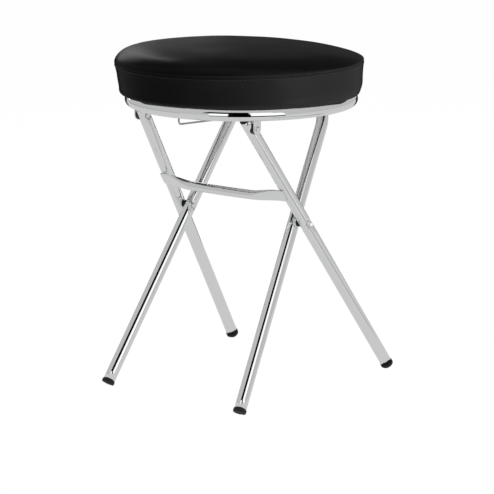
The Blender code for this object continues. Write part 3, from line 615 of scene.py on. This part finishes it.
def rivet(node, first_x, second_x, centre):
    """Rivet along X, with a low domed head outside each of two places."""
    low, high = sorted((first_x, second_x))
    half = (high - low) / 2 + GAP
    dome = [(RIVET_HEAD_RADIUS * math.cos(angle) ** 0.8, half + RIVET_HEAD_HEIGHT * math.sin(angle))
            for angle in [math.radians(6 * step) for step in range(15)]]
    head = [(0.0, half + RIVET_HEAD_HEIGHT)] + dome[::-1]
    profile = head + [(RIVET_RADIUS, half), (RIVET_RADIUS, -half)]
    profile += [(radius, -height) for radius, height in reversed(head)]
    shape = placed(turned(profile, 40), aim(Vector(((low + high) / 2, centre.y, centre.z)), (1, 0, 0)))
    return new_piece(f"chromed_{node}", shape, CHROME, OUTER, "rivet_steel", node)


def disc(node, body, radius, thickness, edge, hole, placement):
    """Flat round washer with softened edges and a hole."""
    profile = arc((radius - edge, thickness - edge), edge, 90, 0, 4)
    profile += arc((radius - edge, edge), edge, 0, -90, 4)
    profile += [(hole, 0.0), (hole, thickness)]
    shape = placed(turned(profile, 48, closed=True), placement)
    return new_piece(f"nylon_{node}", shape, NYLON, body, "black_plastic", node)


def hinge_spacer(word, side):
    """Black disc between a leg and its lug."""
    inner_x = HINGE_LEG_X + TUBE_RADIUS - SPACER_WRAP
    start = Vector((side * inner_x, HINGE.y, HINGE.z))
    return disc(f"hinge_spacer_{word}", OUTER, SPACER_RADIUS, LUG_INNER_X - GAP - inner_x, 0.5 * MM,
                RIVET_RADIUS + GAP, aim(start, (side, 0, 0)))


def pivot_washer(word, side):
    axis = mirrored(WASHER_AXIS, side)
    middle = Vector((side * (OUTER_HALF_WIDTH + INNER_HALF_WIDTH) / 2, PIVOT.y, PIVOT.z))
    return disc(f"pivot_washer_{word}", INNER, WASHER_RADIUS, WASHER_THICKNESS, 0.4 * MM,
                RIVET_RADIUS + 2 * GAP, aim(middle - axis * WASHER_THICKNESS / 2, axis))


def leg_plug(word, side):
    """Black plug with a softly domed end in the top of an outer leg."""
    top = OUTER_PLANE @ leg_point(OUTER_LEGS, side, HINGE_REACH + LEG_PAST_HINGE)
    direction = mirrored(OUTER_DIRECTION, side)
    stem = TUBE_RADIUS - TUBE_WALL - GAP
    profile = [(0.0, PLUG_DOME), (4.5 * MM, 1.35 * MM)]
    profile += arc((PLUG_RADIUS - PLUG_EDGE, 0.5 * MM), PLUG_EDGE, 80, 0, 5)
    profile += [(PLUG_RADIUS, 0.0), (stem, 0.0), (stem, -PLUG_DEPTH), (0.0, -PLUG_DEPTH)]
    shape = placed(turned(profile, 48), aim(top + direction * GAP, direction))
    return new_piece(f"nylon_leg_plug_{word}", shape, NYLON, OUTER, "black_plastic", f"leg_plug_{word}")


def hinge_lug(word, side):
    """Flat lug with a rounded foot, run up into the ring that it is welded to."""
    top = RING_HEIGHT + 2.0 * MM - HINGE.z
    outline = arc((0.0, 0.0), LUG_RADIUS, 180, 360, 28) + [(LUG_RADIUS, top), (-LUG_RADIUS, top)]
    shape = bmesh.new()
    shape.faces.new([shape.verts.new((0.0, across, up)) for across, up in outline])
    thickened(shape, (LUG_THICKNESS, 0.0, 0.0))
    sharp = [edge for edge in shape.edges if edge.calc_face_angle(0.0) > math.radians(60)]
    softened(shape, sharp, 0.35 * MM, 3)
    start = LUG_INNER_X if side > 0 else -LUG_INNER_X - LUG_THICKNESS
    placed(shape, Matrix.Translation((start, HINGE.y, HINGE.z)))
    return new_piece(f"chromed_hinge_lug_{word}", shape, CHROME, SEAT, "chrome", f"hinge_lug_{word}")


def weld_bead(word, side):
    """Uneven weld from a lug's outer face along the ring's underside."""
    start = math.asin((LUG_INNER_X + LUG_THICKNESS - WELD_OVERLAP) / RING_RADIUS)
    stations = []
    for step in range(WELD_STEPS + 1):
        share = step / WELD_STEPS
        turn = start + share * WELD_LENGTH / RING_RADIUS
        outward = Vector((side * math.sin(turn), -math.cos(turn), 0.0))
        ahead = Vector((side * math.cos(turn), math.sin(turn), 0.0))
        lump = 1 + 0.16 * noise.noise(Vector((share * 6.0, side * 2.0, 1.7)))
        size = max(WELD_RADIUS * (1 - 0.75 * share ** 1.5) * lump, 0.3 * MM)
        place = outward * (RING_RADIUS - WELD_INSET)
        place.z = RING_HEIGHT - TUBE_RADIUS + 0.55 * size + 0.2 * MM
        stations.append(aim(place, ahead) @ Matrix.Diagonal((size, size, size, 1.0)))
    shape = capped(swept(stations, 1.0, 20))
    return new_piece(f"chromed_lug_weld_{word}", shape, CHROME, SEAT, "chrome")


def foot(node, side, legs):
    """Rubber foot with a stem, a softened cap and the flat that it stands on."""
    direction = mirrored(legs.direction, side)
    stem = TUBE_RADIUS - TUBE_WALL - GAP
    hollow = FOOT_HOLLOW_DEPTH - FOOT_LENGTH
    profile = [(0.0, FOOT_STEM), (stem - FOOT_CHAMFER, FOOT_STEM), (stem, FOOT_STEM - FOOT_CHAMFER)]
    profile += [(stem, 0.0)] + arc((FOOT_RADIUS - FOOT_RIM, -FOOT_RIM), FOOT_RIM, 90, 0, 5)
    profile += arc((FOOT_RADIUS - FOOT_EDGE, FOOT_EDGE - FOOT_LENGTH), FOOT_EDGE, 0, -90, 9)
    profile += [(FOOT_HOLLOW_RADIUS, -FOOT_LENGTH), (FOOT_HOLLOW_RADIUS - FOOT_HOLLOW_DEPTH, hollow)]
    profile += [(0.0, hollow)]
    start = legs.plane @ tube_end(legs, side) - direction * GAP
    shape = placed(turned(profile, 48), aim(start, direction))
    cut = bmesh.ops.bisect_plane(shape, geom=shape.verts[:] + shape.edges[:] + shape.faces[:], dist=1e-7,
                                 plane_co=(0, 0, 0), plane_no=(0, 0, -1), clear_outer=True)["geom_cut"]
    rim = [item for item in cut if isinstance(item, bmesh.types.BMEdge)]
    bmesh.ops.holes_fill(shape, edges=rim, sides=0)
    return new_piece(f"rubber_{node}", shape, RUBBER, legs.body, "rubber", node)


# Seat

STAPLE_COUNT = 40
STAPLE_SIZE = Matrix.Diagonal((9.5 * MM, 1.1 * MM, 0.55 * MM, 1.0))
STAPLE_INSET = 6.5 * MM    # from the hem's edge, give or take the drift
STAPLE_DRIFT = 1.5 * MM
STAPLE_DROP = 0.25 * MM
STAPLE_CLEARANCE = math.radians(6.0)    # round each tab


def seat_ring():
    shape = bmesh.new()
    section = Matrix.Translation((RING_RADIUS, 0.0, RING_HEIGHT)) @ Matrix.Rotation(math.pi / 2, 4, "X")
    start = bmesh.ops.create_circle(shape, cap_ends=False, radius=TUBE_RADIUS, segments=48, matrix=section)
    spun(shape, start["verts"], edges_at(start["verts"]), 192)
    return new_piece("chromed_seat_ring", shape, CHROME, SEAT, "chrome", "seat_ring")


def keeper_wire():
    """Bent wire under the front of the board."""
    plane = Matrix(((0.0, 0.0, 1.0), (1.0, 0.0, 0.0), (0.0, 1.0, 0.0))).to_4x4()
    front = WIRE_INSET - RING_RADIUS
    back = front + WIRE_LENGTH
    held = BOARD_BOTTOM + WIRE_HELD
    path = ((front, held), (front, BOARD_BOTTOM - WIRE_FRONT_DROP),
            (back, BOARD_BOTTOM - WIRE_BACK_DROP), (back, held))
    points = [Vector((*place, 0.0)) for place in path]
    stations = bent_run(plane, points, WIRE_BEND_RADIUS, 10, ([], [], []))
    shape = capped(swept(stations, WIRE_RADIUS, 20))
    return new_piece("plated_keeper_wire", shape, PLATED, SEAT, "zinc_steel", "keeper_wire")


def ring_tab(number, angle):
    """Tab inside the ring, with a hole for the seat screw."""
    shape = bmesh.new()
    outline = arc((SCREW_CIRCLE, 0.0), TAB_RADIUS, 90, 270, 24)
    outline += [(TAB_OUTER, -TAB_RADIUS), (TAB_OUTER, TAB_RADIUS)]
    hole = arc((SCREW_CIRCLE, 0.0), TAB_HOLE_RADIUS, 0, 345, 23)
    rims = []
    for points in (outline, hole):
        verts = [shape.verts.new((x, y, 0.0)) for x, y in points]
        rims += [shape.edges.new(pair) for pair in zip(verts, verts[1:] + verts[:1])]
    bmesh.ops.triangle_fill(shape, edges=rims, use_beauty=True, use_dissolve=True)
    thickened(shape, (0.0, 0.0, TAB_THICKNESS))
    placed(shape, Matrix.Rotation(angle, 4, "Z") @ Matrix.Translation((0.0, 0.0, RING_TOP - TAB_THICKNESS)))
    return new_piece(f"chromed_ring_tab_{number}", shape, CHROME, SEAT, "chrome", f"ring_tab_{number}")


def seat_screw(number, angle):
    """Pan-head screw with a cross recess."""
    profile = [(0.0, SCREW_LENGTH), (SCREW_RADIUS, SCREW_LENGTH - SCREW_POINT), (SCREW_RADIUS, 0.0)]
    profile += [(SCREW_HEAD_RADIUS * math.cos(turn), -SCREW_HEAD_HEIGHT * math.sin(turn))
                for turn in [math.radians(8 * step) for step in range(11)]]
    profile += [(0.0, -SCREW_HEAD_HEIGHT)]
    shape = turned(profile, 32)
    place = Vector((SCREW_CIRCLE * math.cos(angle), SCREW_CIRCLE * math.sin(angle),
                    RING_TOP - TAB_THICKNESS - GAP))
    placed(shape, Matrix.Translation(place))
    screw = new_piece(f"plated_seat_screw_{number}", shape, PLATED, SEAT, "zinc_steel",
                      f"seat_screw_{number}")
    recess_place = Matrix.Translation(place - Vector((0.0, 0.0, SCREW_HEAD_HEIGHT)))
    recess_size = Matrix.Diagonal((4.6 * MM, 1.0 * MM, 2.6 * MM, 1.0))
    for turn in (angle, angle + math.pi / 2):
        slot_shape = bmesh.new()
        bmesh.ops.create_cube(slot_shape, size=1.0,
                              matrix=recess_place @ Matrix.Rotation(turn, 4, "Z") @ recess_size)
        carve(screw, mesh_of("recess", slot_shape))
    return screw


def applied(piece):
    """Keep what a piece's modifiers make as its own mesh."""
    bpy.context.view_layer.update()
    made = bpy.data.meshes.new_from_object(piece.evaluated_get(bpy.context.evaluated_depsgraph_get()))
    piece.modifiers.clear()
    piece.data = made


def carve(piece, cutter_mesh):
    """Cut a mesh out of a piece."""
    cutter = linked("cutter", cutter_mesh)
    cutting = piece.modifiers.new("Cut", "BOOLEAN")
    cutting.operation = "DIFFERENCE"
    cutting.object = cutter
    applied(piece)
    bpy.data.objects.remove(cutter, do_unlink=True)
    bpy.data.meshes.remove(cutter_mesh)


def seat_board():
    """Round board that the ring is screwed to, with softened edges."""
    inside = BOARD_RADIUS - BOARD_EDGE
    profile = [(0.0, BOARD_TOP)] + arc((inside, BOARD_TOP - BOARD_EDGE), BOARD_EDGE, 90, 0, 4)
    profile += arc((inside, BOARD_BOTTOM + BOARD_EDGE), BOARD_EDGE, 0, -90, 4)
    profile += [(BOARD_RADIUS * share, BOARD_BOTTOM) for share in (0.75, 0.5, 0.25, 0.0)]
    shape = turned(profile, 96)
    return new_piece("washed_seat_board", shape, PLYWOOD, SEAT, "plywood", "seat_board")


def hem_staples():
    """Staples that hold the turned-under cover to the board."""
    shape = bmesh.new()
    for number in range(STAPLE_COUNT):
        angle = 2 * math.pi * (number + 0.5) / STAPLE_COUNT
        if min(abs(math.remainder(angle - tab, 2 * math.pi)) for tab in TAB_ANGLES) < STAPLE_CLEARANCE:
            continue
        wobble = noise.noise(Vector((number * 3.7, 0.5, 0.0)))
        spot = Vector((HEM_RADIUS + STAPLE_INSET + STAPLE_DRIFT * wobble, 0.0, COVER_BOTTOM - STAPLE_DROP))
        place = Matrix.Rotation(angle, 4, "Z") @ Matrix.Translation(spot)
        place = place @ Matrix.Rotation(math.pi / 2 + 0.5 * wobble, 4, "Z")
        made = bmesh.ops.create_cube(shape, size=1.0, matrix=place @ STAPLE_SIZE)
        softened(shape, edges_at(made["verts"]), 0.18 * MM, 2)
    return new_piece("plated_hem_staples", shape, PLATED, SEAT, "zinc_steel")


# Cushion

SEAM_STEPS = 240
CUSHION_SHIFT = Vector((-2.3 * MM, -1.8 * MM, 0.0))    # the pad sits a little off the ring's middle
SEAM_TILT = math.radians(0.65)    # and its seam runs a little lower at one side
TILT_AXIS = Vector((0.795, 0.607, 0.0))
SIDE_FILL = 5.0 * MM    # the stuffing is fuller where the seam is lower,
SLACK_POWER = 5.8    # and the shoulder rounder at the other side
FOOT_SAG = 1.7 * MM    # the foot hangs a little over the ring at both sides
SIDE_BULGE = 0.8 * MM    # the side stands out where the pad is fuller,
FOOT_BULGE = 1.5 * MM
FOOT_TUCK = 2.3 * MM    # and draws in above its foot at the other side
TOP_LUMPS = 0.55 * MM
SIDE_LUMPS = 0.35 * MM
STITCH_LENGTH = 5.2 * MM
STITCHES = round(2 * math.pi * SEAM_RADIUS / STITCH_LENGTH)
STITCH_DROP = 2.8 * MM    # from the seam down to the row of stitches
SEWN_REACH = 9.0 * MM    # how far from the seam the sewing shows
GROOVE_DEPTH = 1.1 * MM
GROOVE_WIDTH = 0.9 * MM
PUCKER_DEPTH = 0.22 * MM
PUCKER_WIDTH = 3.2 * MM
SWELL_CAP = 1.2 * MM    # how far the taut cover may swell
FOLD_SHARE = 0.15    # how much of the loose cloth's folding it keeps
CLOTH_FRAMES = 20
SAME_RING = 0.05 * MM    # points as close as this in radius and height lie on one ring
FOOT_TOP = COVER_BOTTOM + COVER_FOOT_EDGE


def shoulder(share, power):
    """Height of a rounded shoulder over the seam, at a share of the pad's radius."""
    return SHOULDER_RISE * math.sqrt(max(1 - share ** power, 0.0))


def top_height(share):
    """Height of the pad's top over the seam, at a share of its radius."""
    return shoulder(share, SHOULDER_POWER) + CROWN_RISE * (1 - share * share)


def side_radius(height):
    """Radius of the drawn-in side, at a height."""
    share = unit((height - FOOT_TOP) / (SEAM_HEIGHT - FOOT_TOP))
    return COVER_FOOT_RADIUS + (SEAM_RADIUS - COVER_FOOT_RADIUS) * share ** 1.8


def cushion_profile():
    """Outline of the pad from the middle of its top, round its side, to the pocket for the board."""
    shares = [math.sin(math.pi / 2 * step / 26) for step in range(27)]
    points = [(SEAM_RADIUS * share, SEAM_HEIGHT + top_height(share)) for share in shares]
    drop = SEAM_HEIGHT - FOOT_TOP
    heights = [SEAM_HEIGHT - drop * step / 13 for step in range(1, 14)]
    points += [(side_radius(height), height) for height in heights]
    foot_centre = (COVER_FOOT_RADIUS - COVER_FOOT_EDGE, FOOT_TOP)
    points += arc(foot_centre, COVER_FOOT_EDGE, 0, -90, 6)[1:]
    hem_top = COVER_BOTTOM + COVER_THICKNESS
    points += [(radius, COVER_BOTTOM) for radius in (RING_RADIUS, HEM_RADIUS + 8 * MM, HEM_RADIUS)]
    points += [(HEM_RADIUS, hem_top), (RING_RADIUS, hem_top)]
    points += arc(foot_centre, COVER_FOOT_EDGE - COVER_THICKNESS, -90, 0, 5)
    pocket_radius = COVER_FOOT_RADIUS - COVER_THICKNESS
    return points + [(pocket_radius * share, BOARD_TOP + GAP) for share in (1.0, 0.6, 0.0)]


def hold_cover(pad):
    """Hold the cover along the seam and under the board."""
    held = pad.vertex_groups.new(name="held")
    for vert in pad.data.vertices:
        radius = math.hypot(vert.co.x, vert.co.y)
        on_seam = abs(vert.co.z - SEAM_HEIGHT) < 0.6 * MM and radius > SEAM_RADIUS - 1.0 * MM
        below = vert.co.z < FOOT_TOP + 1.0 * MM
        inside = vert.co.z < SEAM_HEIGHT - 1.0 * MM and radius < COVER_FOOT_RADIUS - 0.9 * MM
        held.add([vert.index], 1.0 if on_seam or below or inside else 0.0, "REPLACE")


def cloth_shifts(pad, start):
    """How far each point moves when the held cover is blown up as loose cloth."""
    hold_cover(pad)
    cloth = pad.modifiers.new("Cloth", "CLOTH")
    settings = cloth.settings
    settings.vertex_group_mass = "held"
    settings.quality = 6
    settings.mass = 0.3
    settings.tension_stiffness = 40.0
    settings.compression_stiffness = 40.0
    settings.shear_stiffness = 20.0
    settings.bending_stiffness = 8.0
    settings.use_pressure = True
    settings.uniform_pressure_force = 4.0
    settings.effector_weights.gravity = 0.0
    cloth.collision_settings.use_collision = False
    cloth.point_cache.frame_start = 1
    cloth.point_cache.frame_end = CLOTH_FRAMES
    scene = bpy.context.scene
    for number in range(1, CLOTH_FRAMES + 1):
        scene.frame_set(number)
    swollen = pad.evaluated_get(bpy.context.evaluated_depsgraph_get()).to_mesh()
    moved = [vert.co.copy() for vert in swollen.vertices]
    pad.modifiers.clear()
    pad.vertex_groups.clear()
    scene.frame_set(1)
    return [new - old for new, old in zip(moved, start)]


def even_shifts(start, shifts):
    """Shifts out and up, each averaged round its ring of the pad."""
    rings = {}
    for number, place in enumerate(start):
        key = (round(math.hypot(place.x, place.y) / SAME_RING), round(place.z / SAME_RING))
        rings.setdefault(key, []).append(number)
    spread = {}
    for numbers in rings.values():
        outs = [Vector((start[n].x, start[n].y, 0.0)).normalized() for n in numbers]
        out_mean = sum(shifts[n].dot(out) for n, out in zip(numbers, outs)) / len(numbers)
        up_mean = sum(shifts[n].z for n in numbers) / len(numbers)
        for n, out in zip(numbers, outs):
            spread[n] = out * out_mean + Vector((0.0, 0.0, up_mean))
    return spread


def inflate(pad):
    """Let the cover swell over its stuffing, evenly but for a share of the cloth's folds."""
    start = [vert.co.copy() for vert in pad.data.vertices]
    shifts = cloth_shifts(pad, start)
    spread = even_shifts(start, shifts)
    keep = min(1.0, SWELL_CAP / max(shift.length for shift in spread.values()))
    for vert in pad.data.vertices:
        even = spread[vert.index]
        vert.co = start[vert.index] + keep * (even + FOLD_SHARE * (shifts[vert.index] - even))


def subdivided(pad):
    """One level of subdivision, applied."""
    smoothing = pad.modifiers.new("Smooth", "SUBSURF")
    smoothing.levels = 1
    smoothing.render_levels = 1
    applied(pad)


def side_bulge(lift, lean):
    """How far the side stands out at a share of its height, full at one side and tucked in at the other."""
    if lean < 0:
        return -lean * (SIDE_BULGE * bell(lift, 0.45, 0.20) + FOOT_BULGE * bell(lift, 0.05, 0.09))
    return -lean * FOOT_TUCK * bell(lift, 0.10, 0.13)


def settle(pad):
    """Sew the seam in, pucker it at each stitch, and set the pad a little off true as the real one is."""
    for vert in pad.data.vertices:
        flat = Vector((vert.co.x, vert.co.y, 0.0))
        radius = flat.length
        if radius < 1e-6:
            continue
        outward = flat / radius
        angle = math.atan2(flat.y, flat.x)
        above = vert.co.z - SEAM_HEIGHT
        outer = radius > COVER_FOOT_RADIUS - 8.0 * MM and vert.co.z > BOARD_BOTTOM + 4.0 * MM
        if outer and abs(above) < SEWN_REACH and radius > side_radius(vert.co.z) - SEWN_REACH:
            groove = bell(above, 0.0, GROOVE_WIDTH)
            pucker = bell(above, 0.0, PUCKER_WIDTH) * (0.5 + 0.5 * math.cos(STITCHES * angle))
            vert.co -= outward * (GROOVE_DEPTH * groove + PUCKER_DEPTH * pucker)
        if vert.co.z > BOARD_TOP:
            lumps = noise.noise(Vector((vert.co.x * 17, vert.co.y * 17, 3.1)))
            vert.co.z += TOP_LUMPS * lumps
            vert.co += outward * SIDE_LUMPS * noise.noise(Vector((angle * 2.2, vert.co.z * 30, 8.0)))
        lift = unit((vert.co.z - COVER_BOTTOM) / (SEAM_HEIGHT - COVER_BOTTOM))
        over = unit((vert.co.z - SEAM_HEIGHT) / SHOULDER_RISE)
        across = flat.dot(TILT_AXIS)
        vert.co.z += math.tan(SEAM_TILT) * across * lift
        vert.co.z -= eased(over) * SIDE_FILL * across / SEAM_RADIUS
        if above > 0.5 * MM and across > 0:
            share = min(radius / SEAM_RADIUS, 1.0)
            slack = shoulder(share, SHOULDER_POWER) - shoulder(share, SLACK_POWER)
            vert.co.z -= slack * across / SEAM_RADIUS
        rim = unit((radius - RING_RADIUS) / (8.0 * MM))
        vert.co += outward * rim * side_bulge(lift, across / SEAM_RADIUS)
        hang = unit((radius - RING_RADIUS - 2.0 * MM) / (6.0 * MM)) * bell(lift, 0.0, 0.12)
        vert.co.z -= hang * FOOT_SAG * (across / SEAM_RADIUS) ** 2
        vert.co += CUSHION_SHIFT * lift


def cushion():
    shape = turned(cushion_profile(), SEAM_STEPS)
    pad = new_piece("vinyl_seat_cushion", shape, VINYL, SEAT, "vinyl",
                    "seat_cover_top", "seat_cover_band", "foam_pad", sharp=50.0)
    inflate(pad)
    subdivided(pad)
    settle(pad)
    pad.data.shade_smooth()
    pad.data.set_sharp_from_angle(angle=math.radians(55))
    pad.visible_glossy = False      # the chrome mirrors the studio and the board, not the black pad
    return pad


def seam_stitches(pad):
    """Row of thread stitches on the side of the pad, just under its seam."""
    shape = bmesh.new()
    bpy.context.view_layer.update()
    thread = Matrix.Diagonal((1.7 * MM, 0.4 * MM, 0.35 * MM, 1.0))
    for number in range(STITCHES):
        angle = 2 * math.pi * (number + 0.5) / STITCHES
        outward = Vector((math.cos(angle), math.sin(angle), 0.0))
        height = SEAM_HEIGHT - STITCH_DROP + math.tan(SEAM_TILT) * SEAM_RADIUS * outward.dot(TILT_AXIS)
        start = outward * 2 * SEAM_RADIUS + Vector((0.0, 0.0, height))
        _, place, normal, _ = pad.ray_cast(start, -outward)
        along = Vector((0.0, 0.0, 1.0)).cross(normal).normalized()
        turn = Matrix((along, normal.cross(along), normal)).transposed().to_4x4()
        bmesh.ops.create_uvsphere(shape, u_segments=6, v_segments=5, radius=1.0,
                                  matrix=Matrix.Translation(place) @ turn @ thread)
    return new_piece("thread_seam_stitches", shape, THREAD, SEAT, "vinyl")


# Studio

VIEW_AZIMUTH = math.radians(-37.35)
CAMERA_PLACE = Vector((1.749, -2.2793, 0.8295))
CAMERA_SIDE = math.atan2(CAMERA_PLACE.y, CAMERA_PLACE.x)
CAMERA_PITCH = math.radians(12.74)
CAMERA_LENS = 158.76
CARD_MIDDLE = 0.25    # height that the cards stand round


def photo_camera():
    data = bpy.data.cameras.new("photo_camera")
    data.lens = CAMERA_LENS
    data.sensor_width = 36.0
    camera = linked("photo_camera", data)
    camera.location = CAMERA_PLACE
    level = math.cos(CAMERA_PITCH)
    ahead = Vector((math.sin(VIEW_AZIMUTH) * level, math.cos(VIEW_AZIMUTH) * level,
                    -math.sin(CAMERA_PITCH)))
    camera.rotation_mode = "QUATERNION"
    camera.rotation_quaternion = ahead.to_track_quat("-Z", "Y")
    bpy.context.scene.camera = camera


def by_ray(tree, plain, camera, glossy):
    """Value for plain rays, for the camera's rays and for mirrored rays."""
    path = tree.nodes.new("ShaderNodeLightPath")
    total = tree.nodes.new("ShaderNodeMath")
    seen = remapped(tree, path.outputs["Is Camera Ray"], 0.0, 1.0, plain, camera)
    tree.links.new(seen, total.inputs[0])
    added = remapped(tree, path.outputs["Is Glossy Ray"], 0.0, 1.0, 0.0, glossy - plain)
    tree.links.new(added, total.inputs[1])
    return total.outputs["Value"]


def studio_world():
    """Pale surround: white to the camera, grey with a lighter floor side in mirrors, and dim as a lamp."""
    world = bpy.data.worlds.new("studio")
    world.use_nodes = True
    tree = world.node_tree
    tree.nodes.clear()
    output = tree.nodes.new("ShaderNodeOutputWorld")
    path = tree.nodes.new("ShaderNodeLightPath")
    source = tree.nodes.new("ShaderNodeTexCoord")
    split = tree.nodes.new("ShaderNodeSeparateXYZ")
    tree.links.new(source.outputs["Generated"], split.inputs["Vector"])
    ramp = tree.nodes.new("ShaderNodeValToRGB")
    ramp.color_ramp.elements.new(0.5)
    for element, grey in zip(ramp.color_ramp.elements, (0.70, 0.54, 0.58)):
        element.color = (grey, grey, grey, 1.0)
    tree.links.new(remapped(tree, split.outputs["Z"], -1.0, 1.0, 0.0, 1.0), ramp.inputs["Fac"])
    surround = tree.nodes.new("ShaderNodeBackground")
    tree.links.new(ramp.outputs["Color"], surround.inputs["Color"])
    tree.links.new(by_ray(tree, 0.04, 1.0, 1.0), surround.inputs["Strength"])
    white = tree.nodes.new("ShaderNodeBackground")
    white.inputs["Color"].default_value = (1.0, 1.0, 1.0, 1.0)
    mix = tree.nodes.new("ShaderNodeMixShader")
    tree.links.new(path.outputs["Is Camera Ray"], mix.inputs["Fac"])
    tree.links.new(surround.outputs["Background"], mix.inputs[1])
    tree.links.new(white.outputs["Background"], mix.inputs[2])
    tree.links.new(mix.outputs["Shader"], output.inputs["Surface"])
    bpy.context.scene.world = world


def bare_material(name):
    """Material with only an output node."""
    material = bpy.data.materials.new(name)
    material.use_nodes = True
    tree = material.node_tree
    tree.nodes.clear()
    return material, tree, tree.nodes.new("ShaderNodeOutputMaterial")


def pale_floor():
    """White floor that keeps a faint shadow."""
    material, tree, output = bare_material("pale_floor")
    lit = tree.nodes.new("ShaderNodeBsdfDiffuse")
    lit.inputs["Color"].default_value = (0.82, 0.82, 0.82, 1.0)
    glow = tree.nodes.new("ShaderNodeEmission")
    tree.links.new(by_ray(tree, 0.05, 1.16, 0.74), glow.inputs["Strength"])
    mix = tree.nodes.new("ShaderNodeMixShader")
    mix.inputs["Fac"].default_value = 0.85
    tree.links.new(lit.outputs["BSDF"], mix.inputs[1])
    tree.links.new(glow.outputs["Emission"], mix.inputs[2])
    tree.links.new(mix.outputs["Shader"], output.inputs["Surface"])
    shape = bmesh.new()
    bmesh.ops.create_grid(shape, x_segments=1, y_segments=1, size=30.0)
    floor = linked("floor", mesh_of("floor", shape))
    floor.data.materials.append(material)


def wall(low, high, distance=3.0):
    """Upright outline of a card: (radius, height) points between two elevations, in degrees."""
    return arc((0.0, CARD_MIDDLE), distance, low, high, 12)


def ground(near, far):
    """Outline of a card that lies on the floor."""
    return [(near, 2 * MM), (far, 2 * MM)]


def studio_card(name, azimuths, outline, level):
    """White panel or dark flag, seen only in mirrors, turned through azimuths from the camera's side."""
    material, tree, output = bare_material(name)
    glow = tree.nodes.new("ShaderNodeEmission")
    glow.inputs["Color"].default_value = (level, level, level, 1.0)
    tree.links.new(glow.outputs["Emission"], output.inputs["Surface"])
    first, last = (CAMERA_SIDE + math.radians(angle) for angle in azimuths)
    shape = bmesh.new()
    verts, edges = profile_line(shape, outline)
    bmesh.ops.rotate(shape, verts=verts, cent=(0, 0, 0), matrix=Matrix.Rotation(first, 3, "Z"))
    bmesh.ops.spin(shape, geom=verts + edges, cent=(0, 0, 0), axis=(0, 0, 1), angle=last - first, steps=12)
    card = linked(name, mesh_of(name, shape))
    card.data.materials.append(material)
    card.visible_camera = False
    card.visible_diffuse = False
    card.visible_shadow = False


def soft_lamp(name, azimuth, distance, height, target, size, power):
    """Area lamp at an azimuth from the camera's side, kept out of the mirrors."""
    data = bpy.data.lights.new(name, "AREA")
    data.shape = "RECTANGLE"
    data.size, data.size_y = size
    data.energy = power
    lamp = linked(name, data)
    turn = CAMERA_SIDE + math.radians(azimuth)
    lamp.location = (distance * math.cos(turn), distance * math.sin(turn), height)
    lamp.rotation_mode = "QUATERNION"
    lamp.rotation_quaternion = (Vector(target) - lamp.location).to_track_quat("-Z", "Y")
    lamp.visible_camera = False
    lamp.visible_glossy = False


for word, side in SIDES.items():
    for make in (outer_leg, hinge_spacer, pivot_washer, leg_plug, hinge_lug, weld_bead):
        make(word, side)
    inner_floor = side * (INNER_HALF_WIDTH - TUBE_RADIUS + DIMPLE_DEPTH)
    outer_floor = side * (OUTER_HALF_WIDTH + TUBE_RADIUS - DIMPLE_DEPTH)
    rivet(f"pivot_rivet_{word}", inner_floor, outer_floor, PIVOT)
    rivet(f"hinge_rivet_{word}", side * (HINGE_LEG_X - TUBE_RADIUS + DIMPLE_DEPTH),
          side * (LUG_INNER_X + LUG_THICKNESS), HINGE)
    foot(f"outer_foot_{word}", side, OUTER_LEGS)
    foot(f"inner_foot_{word}", side, INNER_LEGS)
inner_arch()
stretcher()
seat_ring()
keeper_wire()
for number, angle in enumerate(TAB_ANGLES, 1):
    ring_tab(number, angle)
    seat_screw(number, angle)
seat_board()
hem_staples()
seam_stitches(cushion())

photo_camera()
studio_world()
pale_floor()
studio_card("white_panel_right", (9.0, 42.0), wall(-4.7, 34.0), 1.2)
studio_card("white_panel_right_high", (9.0, 33.0), wall(34.0, 44.0), 1.2)
studio_card("white_panel_left", (-31.0, -12.0), wall(-4.7, 29.0), 1.2)
studio_card("dark_flag_front", (-12.5, 9.0), ground(0.82, 2.85) + wall(-4.7, 20.0, 2.9), 0.0)
studio_card("dark_flag_front_high", (-12.5, 8.0), wall(20.0, 54.0, 2.9), 0.0)
studio_card("dark_flag_high", (-40.0, -12.0), wall(29.0, 53.0, 2.9), 0.0)
studio_card("dark_floor_right", (9.0, 42.0), ground(0.95, 2.4), 0.0)
studio_card("dark_floor_left", (-31.0, -12.5), ground(1.2, 2.4), 0.0)
studio_card("grey_floor_right", (30.0, 95.0), ground(0.42, 0.58), 0.42)
studio_card("dark_flag_behind_left", (-178.0, -150.0), ground(1.3, 2.85) + wall(-4.7, 5.0, 2.9), 0.02)
studio_card("dark_flag_behind_right", (150.0, 178.0), ground(1.3, 2.85) + wall(-4.7, 5.0, 2.9), 0.02)
studio_card("grey_flag_left", (-140.0, -60.0), wall(-4.0, 5.0), 0.45)
studio_card("white_panel_back_left", (-173.0, -146.0), wall(12.0, 30.0, 2.9), 4.5)
studio_card("white_panel_back", (181.0, 190.0), wall(4.0, 14.0, 2.85), 1.5)
studio_card("white_panel_back_right", (146.0, 163.0), wall(12.0, 25.0, 2.9), 0.6)
studio_card("dark_flag_back", (163.0, 187.0), wall(17.0, 62.0, 2.9), 0.03)
studio_card("dark_flag_back_left", (-173.0, -120.0), wall(31.0, 62.0, 2.9), 0.03)
studio_card("dark_flag_back_right", (120.0, 163.0), wall(26.0, 62.0, 2.9), 0.03)
soft_lamp("bounce_lamp", 50.0, 0.80, 0.10, (0.10, -0.03, 0.41), (0.5, 0.3), 5.0)
soft_lamp("under_lamp", 0.0, 0.0, 0.02, (0.0, 0.0, 0.4), (0.25, 0.25), 0.6)
soft_lamp("key_lamp", 165.0, 0.75, 2.2, (0.0, 0.0, 0.3), (1.2, 1.2), 8.0)

bpy.context.scene.view_settings.view_transform = "Standard"
